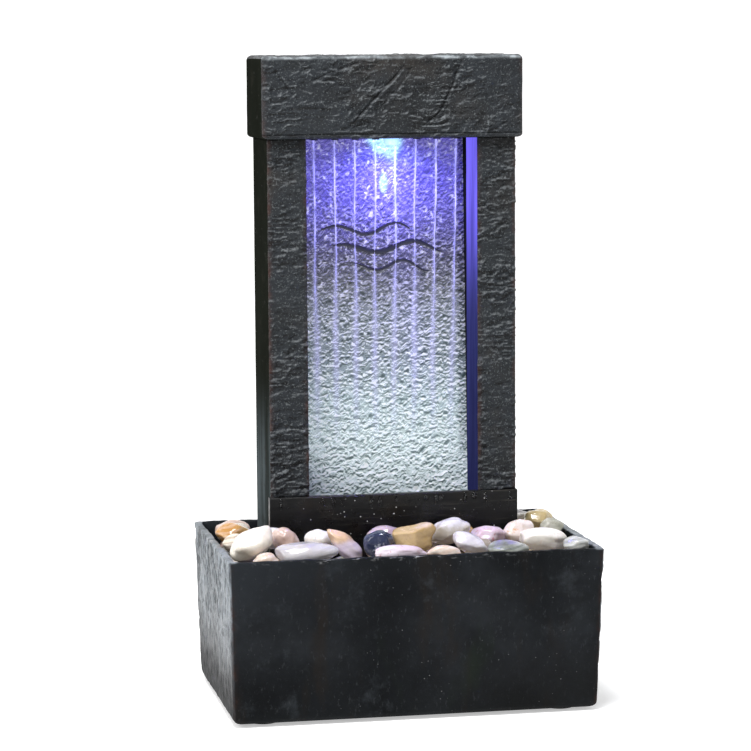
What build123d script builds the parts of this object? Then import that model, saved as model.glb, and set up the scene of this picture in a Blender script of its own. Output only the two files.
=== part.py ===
from build123d import *
import math
import os

# Tabletop water fountain: a basin of pebbles, a slate tower with a leaning clear panel, and a lift-off cap.
# Millimetres. X to the right, Y to the back, Z up. Origin: middle of the footprint, on the table.

# Basin
BASIN_TOP = (150.0, 102.0)
BASIN_FOOT = (146.4, 95.6)
BASIN_Z = 1.2
RIM_Z = 66.0
WALL = 3.1
FLOOR_Z = 4.4
FOOT_R = 6.0
FOOT_XY = (60.0, 36.0)

# Tower
TOWER_W = 101.4
WINDOW_W = 69.7
FRONT = -2.4
BACK = 34.0
SKIN = 2.4
APRON_Z = 83.1
SILL_TOP = 79.6
SILL_FOOT = 75.8
CAP_Z = 226.7
STILE_X = (WINDOW_W + TOWER_W) / 4
APRON_PROUD = 0.8
APRON_OVER = 0.5

# Panel
PANEL_Y = 16.7
PANEL_T = 3.0
PANEL_LEAN = 2.95
PANEL_H = 143.2
PANEL_FOOT = -5.0

# Cap
CAP_W = 106.5
CAP_FRONT = -6.0
CAP_BACK = 34.6
TOP_Z = 260.0

# Water line
HOSE_Y = 22.4
HOSE_R = 4.0
HOSE_BORE = 3.0
BARB_R = 2.95
BAR_Z = 238.0
NOZZLE_X = [-27.3 + 8.5 * i for i in range(8)]

# Pump
PUMP_Y = (2.0, 30.0)
PUMP_Z = (9.4, 37.4)
AXIS_Y = 16.0
AXIS_Z = 23.4
NIPPLE_X = 7.5

# Lamp
LAMP_X = 2.4
LAMP_Y = 11.0

# Pebble tray
TRAY_Z = 48.8
TRAY_T = 2.2
TRAY_HALF = (70.4, 45.9)

os.makedirs("parts", exist_ok=True)


def block(x0, x1, y0, y1, z0, z1):
    """A box between two corners."""
    centre = Pos((x0 + x1) / 2, (y0 + y1) / 2, (z0 + z1) / 2)
    return centre * Box(x1 - x0, y1 - y0, z1 - z0)


def rod(radius, start, end):
    """A cylinder from one point to another."""
    a = Vector(*start)
    b = Vector(*end)
    plane = Plane(origin=(a + b) / 2, z_dir=(b - a).normalized())
    return plane * Cylinder(radius, (b - a).length)


def tube(outer, inner, start, end):
    """A hollow cylinder from one point to another."""
    return rod(outer, start, end) - rod(inner, start, end)


def outline(z):
    """Outer width and depth of the basin at a height."""
    t = (z - BASIN_Z) / (RIM_Z - BASIN_Z)
    return [foot + (top - foot) * t for foot, top in zip(BASIN_FOOT, BASIN_TOP)]


def tapered(z0, z1, inset, radius):
    """A solid that follows the basin's taper between two heights, inset from its outside."""
    sections = []
    for z in (z0, z1):
        w, d = outline(z)
        sections.append(Pos(0, 0, z) * RectangleRounded(w - 2 * inset, d - 2 * inset, radius))
    return loft(sections)


def save(shape, node):
    """Write one node."""
    export_step(shape, f"parts/{node}.step")


# ---------------------------------------------------------------- basin

def make_basin():
    shell = tapered(BASIN_Z, RIM_Z, 0, 4.0)
    shell = fillet(shell.faces().sort_by(Axis.Z)[0].edges(), 1.8)
    shell -= tapered(FLOOR_Z, RIM_Z + 1, WALL, 2.4)
    # notch for the cord in the back rim
    shell -= rod(4.5, (-40, 40, 62.5), (-40, 56, 62.5))
    shell -= block(-44.5, -35.5, 40, 56, 62.5, RIM_Z + 2)
    for sx in (-1, 1):
        for sy in (-1, 1):
            x, y = sx * FOOT_XY[0], sy * FOOT_XY[1]
            shell -= rod(FOOT_R + 0.05, (x, y, 0), (x, y, BASIN_Z + 0.4))
        # pegs that stand inside the tower's hollow stiles
        for y in (3.0, 20.0):
            shell += block(sx * STILE_X - 3.8, sx * STILE_X + 3.8, y, y + 9.0, FLOOR_Z - 0.5, 8.4)
    return shell


def make_feet():
    pads = Part()
    for sx in (-1, 1):
        for sy in (-1, 1):
            x, y = sx * FOOT_XY[0], sy * FOOT_XY[1]
            pads += rod(FOOT_R, (x, y, 0), (x, y, BASIN_Z + 0.4))
    return pads


# ---------------------------------------------------------------- tower

PANEL_AT = Pos(0, PANEL_Y, APRON_Z) * Rot(X=-PANEL_LEAN)


def make_stile(side):
    """A hollow post, open at both ends, with a groove for the panel in its inner wall."""
    x0, x1 = WINDOW_W / 2, TOWER_W / 2
    post = block(x0, x1, FRONT, BACK, FLOOR_Z, CAP_Z)
    post -= block(x0 + SKIN, x1 - SKIN, FRONT + SKIN, BACK - SKIN, FLOOR_Z - 1, CAP_Z + 1)
    # seat for the apron
    post -= block(x0 - 1, x1 + 1, FRONT - 1, 0, FLOOR_Z - 1, APRON_Z)
    # boss for the header's screw
    post += block(x0 + SKIN - 0.5, x1 - SKIN + 0.5, -0.5, 7.2, CAP_Z - 10, CAP_Z)
    # ledges for the rear cover's screws and for the sill
    for z in (14.0, 44.0):
        post += block(x0 - 6.2, x0 + 0.5, 26.0, BACK - SKIN, z, z + 10)
        post -= rod(1.3, (x0 - 3.2, 25.0, z + 5), (x0 - 3.2, 32.0, z + 5))
    post += block(x0 - 3.0, x0 + 0.5, 2.0, 14.0, SILL_FOOT - 3, SILL_FOOT)
    post -= rod(1.3, (STILE_X, 3.6, CAP_Z - 9), (STILE_X, 3.6, CAP_Z + 1))
    if side < 0:
        post = mirror(post, Plane.YZ)
        # way in for the lamp's lead
        post -= block(-x0 - SKIN - 0.5, -x0 + 0.5, 6.0, 16.0, 54.0, 70.0)
    else:
        # way in for the hose
        post -= block(x0 - 0.5, x0 + SKIN + 0.5, 17.2, 27.6, 60.5, 77.4)
    groove = block(side * (x0 + 0.1) - 1.1, side * (x0 + 0.1) + 1.1, -0.15, PANEL_T + 0.15, -7, 150)
    return post - PANEL_AT * groove


def make_apron():
    half = TOWER_W / 2 + APRON_OVER
    plate = block(-half, half, FRONT - APRON_PROUD, 0, FLOOR_Z, APRON_Z)
    plate = chamfer(plate.edges().filter_by(Axis.X).group_by(Axis.Z)[-1].sort_by(Axis.Y)[0], 0.5)
    for i in range(-2, 3):
        plate -= rod(4.0, (18 * i, -4, 12), (18 * i, 1, 12))
        plate -= block(18 * i - 4, 18 * i + 4, -4, 1, FLOOR_Z - 1, 12)
    return plate


def make_sill():
    """Gutter floor behind the apron's lip: it holds the panel's foot and drains through three slots."""
    profile = make_face(Plane.YZ * Polyline(
        (0, SILL_FOOT), (0, SILL_TOP - 0.8), (PANEL_Y, SILL_TOP), (BACK - SKIN, SILL_TOP),
        (BACK - SKIN, SILL_FOOT), close=True))
    sill = extrude(profile, WINDOW_W / 2, both=True)
    for x in (-22, 0, 22):
        sill -= block(x - 6, x + 6, -1, 2.5, SILL_FOOT - 1, SILL_TOP + 1)
    return sill - PANEL_AT * block(-36, 36, -0.15, PANEL_T + 0.15, PANEL_FOOT - 0.3, 6)


def make_rear_cover():
    half = WINDOW_W / 2
    cover = block(-half, half, BACK - SKIN, BACK, FLOOR_Z, 88)
    for i in range(-3, 4):
        cover -= block(7 * i - 1.5, 7 * i + 1.5, BACK - SKIN - 1, BACK + 1, 10, 40)
    for x, z in REAR_SCREWS:
        cover -= rod(1.6, (x, BACK - SKIN - 1, z), (x, BACK + 1, z))
        cover -= rod(2.7, (x, BACK - 1.4, z), (x, BACK + 1, z))
    return cover


REAR_SCREWS = [(sx * (WINDOW_W / 2 - 3.2), z) for sx in (-1, 1) for z in (19.0, 49.0)]


def make_header():
    """Crosspiece on top of both stiles. It carries the spray bar and the lamp, inside the cap."""
    plate = block(-50, 50, -2.0, 31.4, CAP_Z, CAP_Z + 3)
    for side in (-1, 1):
        x = side * STILE_X
        plate += block(x - 5.2, x + 5.2, 28.4, 31.2, CAP_Z - 3, CAP_Z + 1)
        plate -= rod(1.6, (x, 3.6, CAP_Z - 1), (x, 3.6, CAP_Z + 4))
    plate -= rod(4.3, (STILE_X, HOSE_Y, CAP_Z - 1), (STILE_X, HOSE_Y, CAP_Z + 4))
    plate -= rod(1.8, (-STILE_X, LAMP_Y, CAP_Z - 1), (-STILE_X, LAMP_Y, CAP_Z + 4))
    plate -= rod(3.6, (LAMP_X, LAMP_Y, CAP_Z - 1), (LAMP_X, LAMP_Y, CAP_Z + 4))
    for x in NOZZLE_X:
        plate -= rod(1.85, (x, HOSE_Y, CAP_Z - 1), (x, HOSE_Y, CAP_Z + 4))
    return plate


def screw(at, towards):
    """A pan-head screw, its head's underside at a point, its 6 mm shank running towards a direction."""
    at = Vector(*at)
    way = Vector(*towards)
    body = rod(1.25, at, at + way * 6)
    head = rod(2.3, at, at - way * 1.3)
    centre = at - way * 1.3
    across = Vector(1, 0, 0)
    slot = rod(0.35, centre - across * 1.6, centre + across * 1.6)
    return body + head - slot


def make_screws():
    screws = Part()
    for x, z in REAR_SCREWS:
        screws += screw((x, BACK - 1.4, z), (0, -1, 0))
    for side in (-1, 1):
        screws += screw((side * STILE_X, 3.6, CAP_Z + 3), (0, 0, -1))
    return screws


def make_panel():
    half = WINDOW_W / 2 + 0.9
    sheet = block(-half, half, 0, PANEL_T, PANEL_FOOT, PANEL_H)
    return PANEL_AT * chamfer(sheet.edges().filter_by(Axis.Z), 0.4)


def make_panel_pads():
    pads = Part()
    for x in (-24, 24):
        pads += block(x - 5, x + 5, 0.1, PANEL_T - 0.1, PANEL_FOOT - 0.3, PANEL_FOOT)
    return PANEL_AT * pads


def make_motif():
    """Three flowing waves, laid on the panel's front face."""
    waves = Part()
    for k, (x0, x1, z, width) in enumerate([(-25, 12, 106, 1.5), (-20, 24.5, 98.5, 2.1), (-12, 20, 91, 1.3)]):
        steps = 12
        points = []
        for i in range(steps + 1):
            t = i / steps
            x = x0 + (x1 - x0) * t
            points.append((x, z + 2.6 * math.sin(t * 3.0 * math.pi + k * 0.9) * (0.5 + 0.5 * t)))
        waves += extrude(trace(Spline(*points), width), 0.35)
    return PANEL_AT * Rot(X=90) * waves


# ---------------------------------------------------------------- water line

def make_hose():
    points = [
        (NIPPLE_X, HOSE_Y, 38.0), (NIPPLE_X, HOSE_Y, 64.5), (STILE_X, HOSE_Y, 64.5), (STILE_X, HOSE_Y, 222.0)]
    path = FilletPolyline(*points, radius=17)
    section = Plane(origin=points[0], z_dir=(0, 0, 1)) * (Circle(HOSE_R) - Circle(HOSE_BORE))
    hose = sweep(section, path)
    expected = math.pi * (HOSE_R ** 2 - HOSE_BORE ** 2) * path.length
    print("hose length", round(path.length, 1), "bend radius 17, volume ratio", round(hose.volume / expected, 4))
    return hose


def make_elbow():
    corner = (STILE_X, HOSE_Y, BAR_Z)
    body = rod(3.8, (STILE_X, HOSE_Y, 222), corner) + Pos(*corner) * Sphere(3.8)
    body += rod(3.8, (38, HOSE_Y, BAR_Z), corner)
    body += rod(BARB_R, (STILE_X, HOSE_Y, 215), (STILE_X, HOSE_Y, 223))
    body += rod(BARB_R, (34.4, HOSE_Y, BAR_Z), (39, HOSE_Y, BAR_Z))
    body -= rod(2.0, (STILE_X, HOSE_Y, 214), corner) + Pos(*corner) * Sphere(2.0)
    body -= rod(2.0, (33, HOSE_Y, BAR_Z), corner)
    return body


def make_spray_bar():
    bar = rod(4.0, (-34, HOSE_Y, BAR_Z), (38, HOSE_Y, BAR_Z))
    for x in NOZZLE_X:
        bar += rod(1.5, (x, HOSE_Y, 225.4), (x, HOSE_Y, BAR_Z))
    bar -= rod(3.0, (-35, HOSE_Y, BAR_Z), (39, HOSE_Y, BAR_Z))
    for x in NOZZLE_X:
        bar -= rod(0.8, (x, HOSE_Y, 225), (x, HOSE_Y, BAR_Z))
    return bar


def make_bar_plug():
    plug = rod(BARB_R, (-34, HOSE_Y, BAR_Z), (-30, HOSE_Y, BAR_Z))
    return plug + rod(4.0, (-35.6, HOSE_Y, BAR_Z), (-34, HOSE_Y, BAR_Z))


def make_bar_clips():
    clips = Part()
    for x in (-14.55, 19.45):
        clips += block(x - 2, x + 2, HOSE_Y - 5, HOSE_Y + 5, CAP_Z + 3, BAR_Z + 1)
    return clips - rod(4.05, (-30, HOSE_Y, BAR_Z), (30, HOSE_Y, BAR_Z))


# ---------------------------------------------------------------- lamp

def make_lamp_housing():
    z0 = CAP_Z + 3
    case = block(LAMP_X - 8, LAMP_X + 8, LAMP_Y - 6, LAMP_Y + 6, z0, z0 + 12)
    case = fillet(case.edges().filter_by(Axis.Z), 1.2)
    case -= block(LAMP_X - 6.5, LAMP_X + 6.5, LAMP_Y - 4.5, LAMP_Y + 4.5, z0 - 1, z0 + 10.5)
    for i in (-1, 0, 1):
        case -= block(LAMP_X + 3 * i - 0.6, LAMP_X + 3 * i + 0.6, LAMP_Y - 3, LAMP_Y + 3, z0 + 10, z0 + 13)
    for side in (-1, 1):
        x = LAMP_X + side * 5.8
        case += block(x - 0.8, x + 0.8, LAMP_Y - 4.6, LAMP_Y + 4.6, z0 + 6.3, z0 + 10.6)
    return case - rod(1.6, (LAMP_X - 9, LAMP_Y, BAR_Z), (LAMP_X - 4, LAMP_Y, BAR_Z))


def make_lamp_board():
    z0 = CAP_Z + 8.3
    board = block(LAMP_X - 6, LAMP_X + 6, LAMP_Y - 4, LAMP_Y + 4, z0, z0 + 1)
    return board + block(LAMP_X + 1, LAMP_X + 3.4, LAMP_Y - 1, LAMP_Y + 1, z0 + 1, z0 + 1.8)


def make_lamp_emitter():
    top = CAP_Z + 8.3
    dome = rod(2.5, (LAMP_X, LAMP_Y, top - 3.4), (LAMP_X, LAMP_Y, top))
    return dome + Pos(LAMP_X, LAMP_Y, top - 3.4) * Sphere(2.5)


def make_lamp_lens():
    z0 = CAP_Z + 3
    lens = rod(4.4, (LAMP_X, LAMP_Y, z0), (LAMP_X, LAMP_Y, z0 + 1.2))
    lens += rod(3.25, (LAMP_X, LAMP_Y, z0 - 4.0), (LAMP_X, LAMP_Y, z0))
    ball = Pos(LAMP_X, LAMP_Y, z0 - 4.0) * Sphere(3.25)
    lens += ball & block(LAMP_X - 4, LAMP_X + 4, LAMP_Y - 4, LAMP_Y + 4, z0 - 6.2, z0 - 3.5)
    return lens - rod(2.9, (LAMP_X, LAMP_Y, z0 - 3.0), (LAMP_X, LAMP_Y, z0 + 2))


LEAD_POINTS = [
    (-18, LAMP_Y, 47), (-18, LAMP_Y, 62), (-STILE_X, LAMP_Y, 62), (-STILE_X, LAMP_Y, BAR_Z),
    (LAMP_X - 7.4, LAMP_Y, BAR_Z)]


def make_lamp_lead():
    path = FilletPolyline(*LEAD_POINTS, radius=[12, 12, 9])
    lead = sweep(Plane(origin=LEAD_POINTS[0], z_dir=(0, 0, 1)) * Circle(1.3), path)
    expected = math.pi * 1.3 ** 2 * path.length
    print("lead length", round(path.length, 1), "bend radii 12, 12, 9, volume ratio", round(lead.volume / expected, 4))
    return lead


PIN_X = (-19.5, -16.5)


def make_lamp_plug():
    plug = block(-21, -15, LAMP_Y - 2.5, LAMP_Y + 2.5, 40, 50)
    plug = chamfer(plug.faces().sort_by(Axis.Z)[-1].edges(), 0.6)
    for x in PIN_X:
        plug -= rod(0.85, (x, LAMP_Y, 39), (x, LAMP_Y, 44.2))
    return plug - rod(1.35, (-18, LAMP_Y, 47), (-18, LAMP_Y, 51))


def make_lamp_socket():
    socket = block(-23, -13, LAMP_Y - 4.5, LAMP_Y + 4.5, PUMP_Z[1], 45)
    socket = fillet(socket.edges().filter_by(Axis.Z), 1.0)
    return socket - block(-21.4, -14.6, LAMP_Y - 2.9, LAMP_Y + 2.9, 39, 46)


def make_lamp_pins():
    pins = Part()
    for x in PIN_X:
        pins += rod(0.5, (x, LAMP_Y, 39), (x, LAMP_Y, 43.4))
    return pins


# ---------------------------------------------------------------- pump

CUP_XY = [(x, y) for x in (-20.0, -1.5) for y in (8.0, 24.0)]


def make_stator():
    coil = block(-24.5, -17.5, 6, 26, 12, 35)
    for z in (12.0, 30.9):
        coil += block(-18, 0, 10, 22, z, z + 3.9)
    return coil


def make_pump_body():
    body = block(-26, 4, *PUMP_Y, *PUMP_Z)
    body = fillet(body.edges().filter_by(Axis.X), 3.0)
    body -= make_stator()
    body -= rod(6.0, (-15, AXIS_Y, AXIS_Z), (5, AXIS_Y, AXIS_Z))
    body -= rod(2.45, (-16.2, AXIS_Y, AXIS_Z), (-14, AXIS_Y, AXIS_Z))
    body -= tube(12.9, 11.5, (3.1, AXIS_Y, AXIS_Z), (5, AXIS_Y, AXIS_Z))
    for x, y in CUP_XY:
        body -= rod(1.55, (x, y, PUMP_Z[0] - 1), (x, y, 11.5))
    return body


def make_volute():
    cover = block(4, 14, *PUMP_Y, *PUMP_Z)
    cover = fillet(cover.edges().filter_by(Axis.X), 3.0)
    cover += rod(BARB_R, (NIPPLE_X, HOSE_Y, 34), (NIPPLE_X, HOSE_Y, 46.5))
    cover -= rod(11.0, (3, AXIS_Y, AXIS_Z), (11, AXIS_Y, AXIS_Z))
    cover -= rod(2.1, (NIPPLE_X, HOSE_Y, AXIS_Z), (NIPPLE_X, HOSE_Y, 47))
    eye = rod(6.4, (10, AXIS_Y, AXIS_Z), (15, AXIS_Y, AXIS_Z))
    eye -= rod(3.3, (10, AXIS_Y, AXIS_Z), (15, AXIS_Y, AXIS_Z))
    arms = block(10, 15, AXIS_Y - 0.7, AXIS_Y + 0.7, AXIS_Z - 7, AXIS_Z + 7)
    arms += block(10, 15, AXIS_Y - 7, AXIS_Y + 7, AXIS_Z - 0.7, AXIS_Z + 0.7)
    cover -= eye - arms
    return cover - rod(2.45, (10, AXIS_Y, AXIS_Z), (13.6, AXIS_Y, AXIS_Z))


def make_seal():
    return tube(12.8, 11.6, (3.2, AXIS_Y, AXIS_Z), (4, AXIS_Y, AXIS_Z))


def make_bushings():
    rear = tube(2.4, 1.05, (-16.1, AXIS_Y, AXIS_Z), (-13.8, AXIS_Y, AXIS_Z))
    return rear + tube(2.4, 1.05, (11.2, AXIS_Y, AXIS_Z), (13.5, AXIS_Y, AXIS_Z))


def make_shaft():
    return rod(1.0, (-16, AXIS_Y, AXIS_Z), (13.4, AXIS_Y, AXIS_Z))


def make_impeller():
    wheel = rod(5.2, (-13.2, AXIS_Y, AXIS_Z), (2.6, AXIS_Y, AXIS_Z))
    wheel += rod(3.0, (2, AXIS_Y, AXIS_Z), (10.4, AXIS_Y, AXIS_Z))
    blade = block(5, 10.2, AXIS_Y - 0.7, AXIS_Y + 0.7, AXIS_Z + 2, AXIS_Z + 9)
    for i in range(5):
        wheel += blade.rotate(Axis((0, AXIS_Y, AXIS_Z), (1, 0, 0)), 72 * i)
    return wheel - rod(1.06, (-14, AXIS_Y, AXIS_Z), (11, AXIS_Y, AXIS_Z))


def make_intake_cover():
    x0, x1 = 14.0, 24.0
    cover = block(x0, x1, *PUMP_Y, *PUMP_Z)
    cover = fillet(cover.edges().filter_by(Axis.X), 3.0)
    cover -= block(x0 - 1, x1 - 1.4, PUMP_Y[0] + 1.5, PUMP_Y[1] - 1.5, PUMP_Z[0] + 1.5, PUMP_Z[1] - 1.5)
    # slots through both side walls
    for i in range(-2, 3):
        z = AXIS_Z + 4.4 * i
        cover -= block(x0 + 1.5, x1 - 3.0, PUMP_Y[0] - 1, PUMP_Y[1] + 1, z - 1.0, z + 1.0)
    # two ports behind the regulator, and slots beside it
    cover -= rod(1.56, (21, AXIS_Y, AXIS_Z), (25, AXIS_Y, AXIS_Z))
    for side in (-1, 1):
        z = AXIS_Z + side * 5
        cover -= rod(2.2, (21, AXIS_Y, z), (25, AXIS_Y, z))
        for y in (5.2, 26.8):
            cover -= block(21, 25, y - 0.9, y + 0.9, AXIS_Z + side * 6 - 4, AXIS_Z + side * 6 + 4)
    return cover


def make_regulator():
    disc = rod(8.0, (24.3, AXIS_Y, AXIS_Z), (26.3, AXIS_Y, AXIS_Z))
    disc += block(24.3, 26.3, AXIS_Y - 1.3, AXIS_Y + 1.3, AXIS_Z + 6, AXIS_Z + 10.5)
    disc += block(26, 27.6, AXIS_Y - 0.8, AXIS_Y + 0.8, AXIS_Z - 2, AXIS_Z + 10.5)
    fin = block(23, 28, AXIS_Y - 0.8, AXIS_Y + 0.8, AXIS_Z - 2, AXIS_Z + 12)
    upper_port = rod(2.2, (23, AXIS_Y, AXIS_Z + 5), (28, AXIS_Y, AXIS_Z + 5))
    lower_port = rod(2.2, (23, AXIS_Y, AXIS_Z - 5), (28, AXIS_Y, AXIS_Z - 5))
    disc -= upper_port - fin
    disc -= lower_port
    return disc + rod(1.5, (21.6, AXIS_Y, AXIS_Z), (25, AXIS_Y, AXIS_Z))


def make_sponge():
    return block(14, 20.6, PUMP_Y[0] + 1.5, PUMP_Y[1] - 1.5, PUMP_Z[0] + 1.5, PUMP_Z[1] - 1.5)


def make_suction_cups():
    cups = Part()
    for x, y in CUP_XY:
        cup = Pos(x, y, FLOOR_Z + 1.5) * Cone(5.0, 2.2, 3.0)
        cup -= Pos(x, y, FLOOR_Z + 0.6) * Cone(3.8, 1.4, 1.2)
        cup += rod(2.2, (x, y, FLOOR_Z + 2.8), (x, y, PUMP_Z[0]))
        cups += cup + rod(1.5, (x, y, PUMP_Z[0] - 1), (x, y, 11.3))
    return cups


def make_cord_gland():
    gland = rod(3.6, (-31, AXIS_Y, 16), (-26, AXIS_Y, 16))
    gland += rod(4.4, (-27.2, AXIS_Y, 16), (-26, AXIS_Y, 16))
    return gland - rod(2.2, (-32, AXIS_Y, 16), (-27, AXIS_Y, 16))


# ---------------------------------------------------------------- cap

def make_cap():
    half = CAP_W / 2
    shell = block(-half, half, CAP_FRONT, CAP_BACK, CAP_Z, TOP_Z)
    shell = fillet(shell.edges().filter_by(Axis.Z), 1.6)
    shell = fillet(shell.faces().sort_by(Axis.Z)[-1].edges(), 1.2)
    # groove all round, just above the lower edge
    band = block(-half - 1, half + 1, CAP_FRONT - 1, CAP_BACK + 1, CAP_Z + 1.6, CAP_Z + 2.2)
    core = block(-half + 0.5, half - 0.5, CAP_FRONT + 0.5, CAP_BACK - 0.5, CAP_Z, TOP_Z)
    shell -= band - core
    shell -= block(-50.6, 50.6, -2.6, 32.0, CAP_Z - 1, TOP_Z - 2.8)
    for x in (-24, 24):
        shell += block(x - 1.2, x + 1.2, -2.8, 32.2, TOP_Z - 8, TOP_Z - 2)
    return shell


# ---------------------------------------------------------------- pebbles and their tray

def make_tray():
    hx, hy = TRAY_HALF
    z0, z1 = TRAY_Z - TRAY_T, TRAY_Z
    plate = Pos(0, 0, z0) * extrude(RectangleRounded(2 * hx, 2 * hy, 5), TRAY_T)
    plate -= block(-52, 52, -4.2, 34.8, z0 - 1, z1 + 1)
    plate -= block(-44.5, -35.5, 39, 50, z0 - 1, z1 + 1)
    for i in range(-7, 8):
        plate -= block(9 * i - 1.6, 9 * i + 1.6, -41, -10, z0 - 1, z1 + 1)
    for side in (-1, 1):
        for x in (57.0, 65.0):
            plate -= block(side * x - 1.6, side * x + 1.6, 4, 30, z0 - 1, z1 + 1)
    for i in range(5):
        x = -22 + 18 * i
        plate -= block(x - 6, x + 6, 38.8, 42, z0 - 1, z1 + 1)
    for x in (-64, 64):
        for y in (-39, 39):
            plate += rod(3.0, (x, y, FLOOR_Z), (x, y, z0 + 0.5))
    for x in (-61, 61):
        plate += rod(3.0, (x, 0, FLOOR_Z), (x, 0, z0 + 0.5))
    return plate


def pebble(x, y, z, a, b, c, turn):
    """A smooth stone: half its length, width and height, and its turn about the vertical."""
    return Pos(x, y, z) * Rot(Z=turn) * scale(Sphere(1), by=(a, b, c))


# The top layer, laid by hand: x, y, z, half length, half width, half height, turn
TOP_PEBBLES = {
    "white": [
        (-66.8, -9.0, 67.4, 4.6, 4.6, 4.4, 0),
        (-62.9, -31.1, 70.5, 8.6, 7.6, 7.4, 10),
        (-52.9, -12.0, 69.0, 5.0, 4.4, 4.6, 0),
        (-34.2, -20.0, 68.8, 5.6, 5.0, 5.4, 0),
        (25.2, -33.7, 67.5, 7.2, 6.0, 5.2, 10),
        (49.0, -13.7, 69.0, 6.6, 5.8, 5.6, 20),
        (57.6, -24.3, 65.8, 9.8, 7.2, 5.8, 0),
        (61.5, 28.0, 65.0, 7.4, 6.2, 4.8, -20),
        (11.0, 41.0, 64.4, 7.4, 4.4, 4.2, 0),
        (12.1, -9.6, 64.4, 4.4, 4.0, 4.4, 0)],
    "amber": [
        (-64.3, 10.0, 68.6, 7.0, 5.5, 5.2, 20),
        (3.3, -25.9, 69.1, 8.2, 6.6, 6.6, 25),
        (27.7, -9.0, 67.8, 4.2, 3.8, 4.4, 0),
        (63.5, 11.0, 68.4, 6.0, 5.6, 5.2, 35),
        (-24.0, 41.0, 64.4, 7.8, 4.6, 4.2, 5),
        (-45.2, -28.8, 64.6, 5.6, 5.0, 4.6, 0),
        (-44.6, -12.0, 64.4, 4.4, 4.4, 4.4, 0)],
    "rose": [
        (-58.6, -41.1, 65.3, 5.2, 4.2, 4.0, 0),
        (-47.7, -20.6, 70.0, 5.6, 4.8, 5.6, 0),
        (-25.8, -32.0, 68.3, 9.4, 6.4, 6.0, -35),
        (-5.0, -12.0, 68.8, 8.2, 5.2, 5.4, 0),
        (-5.5, -42.0, 66.5, 10.2, 3.8, 4.0, 0),
        (11.8, -42.0, 65.8, 6.6, 3.8, 3.8, 0),
        (35.7, -16.0, 67.3, 7.0, 5.6, 5.0, -8),
        (-60.0, 41.6, 64.6, 7.2, 4.8, 4.4, 0),
        (44.0, 41.0, 64.4, 6.4, 4.6, 4.2, 0),
        (61.0, -9.6, 64.6, 5.4, 5.0, 4.6, 0)],
    "grey": [
        (-42.3, -39.2, 68.8, 12.2, 6.6, 5.6, 4),
        (19.6, -16.0, 70.2, 8.0, 6.2, 5.8, -10),
        (66.2, -39.0, 66.3, 5.2, 5.4, 4.4, 0),
        (-61.0, 29.4, 64.8, 6.8, 6.0, 4.6, 30),
        (61.0, 41.6, 64.6, 7.0, 5.0, 4.4, 10),
        (-6.0, 41.0, 64.6, 7.0, 4.8, 4.4, 0),
        (-63.0, -19.6, 64.8, 6.0, 5.2, 4.8, 0),
        (-31.0, -10.0, 64.8, 6.0, 4.6, 4.6, 0),
        (30.7, -24.6, 64.4, 5.2, 4.4, 4.4, 0)],
    "dark": [
        (-11.4, -29.3, 69.1, 6.8, 6.2, 6.6, 15),
        (38.8, -38.3, 65.5, 8.0, 5.6, 4.6, 0),
        (66.4, -1.2, 67.5, 5.0, 5.0, 4.2, 0),
        (28.0, 41.0, 64.4, 6.6, 4.8, 4.2, 0)],
}


def make_bed():
    """The lower layer, which carries the one that shows."""
    stones = []
    z = TRAY_Z + 0.3 + 5.2
    for row, y in enumerate((-39.6, -25.8, -12.0)):
        for i in range(-5, 6):
            stones.append(pebble(12.6 * i, y, z, 6.0, 6.3, 5.2, 0))
    for side in (-1, 1):
        for y in (3.0, 16.6, 30.2):
            stones.append(pebble(side * 61.4, y, z, 7.6, 6.3, 5.2, 0))
        stones.append(pebble(side * 59.6, 41.6, z, 6.4, 4.4, 5.2, 0))
    for i in range(-2, 4):
        stones.append(pebble(13.4 * i, 41.2, z, 6.2, 5.0, 5.2, 0))
    return Compound(children=stones)


# ---------------------------------------------------------------- write every node

NODES = {
    "basin": make_basin,
    "basin_feet": make_feet,
    "stile_left": lambda: make_stile(-1),
    "stile_right": lambda: make_stile(1),
    "apron": make_apron,
    "sill": make_sill,
    "rear_cover": make_rear_cover,
    "header": make_header,
    "case_screws": make_screws,
    "panel": make_panel,
    "panel_pads": make_panel_pads,
    "panel_motif": make_motif,
    "hose": make_hose,
    "elbow": make_elbow,
    "spray_bar": make_spray_bar,
    "bar_plug": make_bar_plug,
    "bar_clips": make_bar_clips,
    "lamp_housing": make_lamp_housing,
    "lamp_board": make_lamp_board,
    "lamp_emitter": make_lamp_emitter,
    "lamp_lens": make_lamp_lens,
    "lamp_lead": make_lamp_lead,
    "lamp_plug": make_lamp_plug,
    "lamp_socket": make_lamp_socket,
    "lamp_pins": make_lamp_pins,
    "pump_stator": make_stator,
    "pump_body": make_pump_body,
    "pump_volute": make_volute,
    "pump_seal": make_seal,
    "pump_bushings": make_bushings,
    "pump_shaft": make_shaft,
    "pump_impeller": make_impeller,
    "intake_cover": make_intake_cover,
    "flow_regulator": make_regulator,
    "filter_sponge": make_sponge,
    "suction_cups": make_suction_cups,
    "cord_gland": make_cord_gland,
    "cap": make_cap,
    "pebble_tray": make_tray,
    "pebbles_bed": make_bed,
}

for node, maker in NODES.items():
    save(maker(), node)
for colour, stones in TOP_PEBBLES.items():
    save(Compound(children=[pebble(*stone) for stone in stones]), f"pebbles_{colour}")
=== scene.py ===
import bmesh
import bpy
import math
import numpy as np
from mathutils import Matrix, Vector


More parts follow.
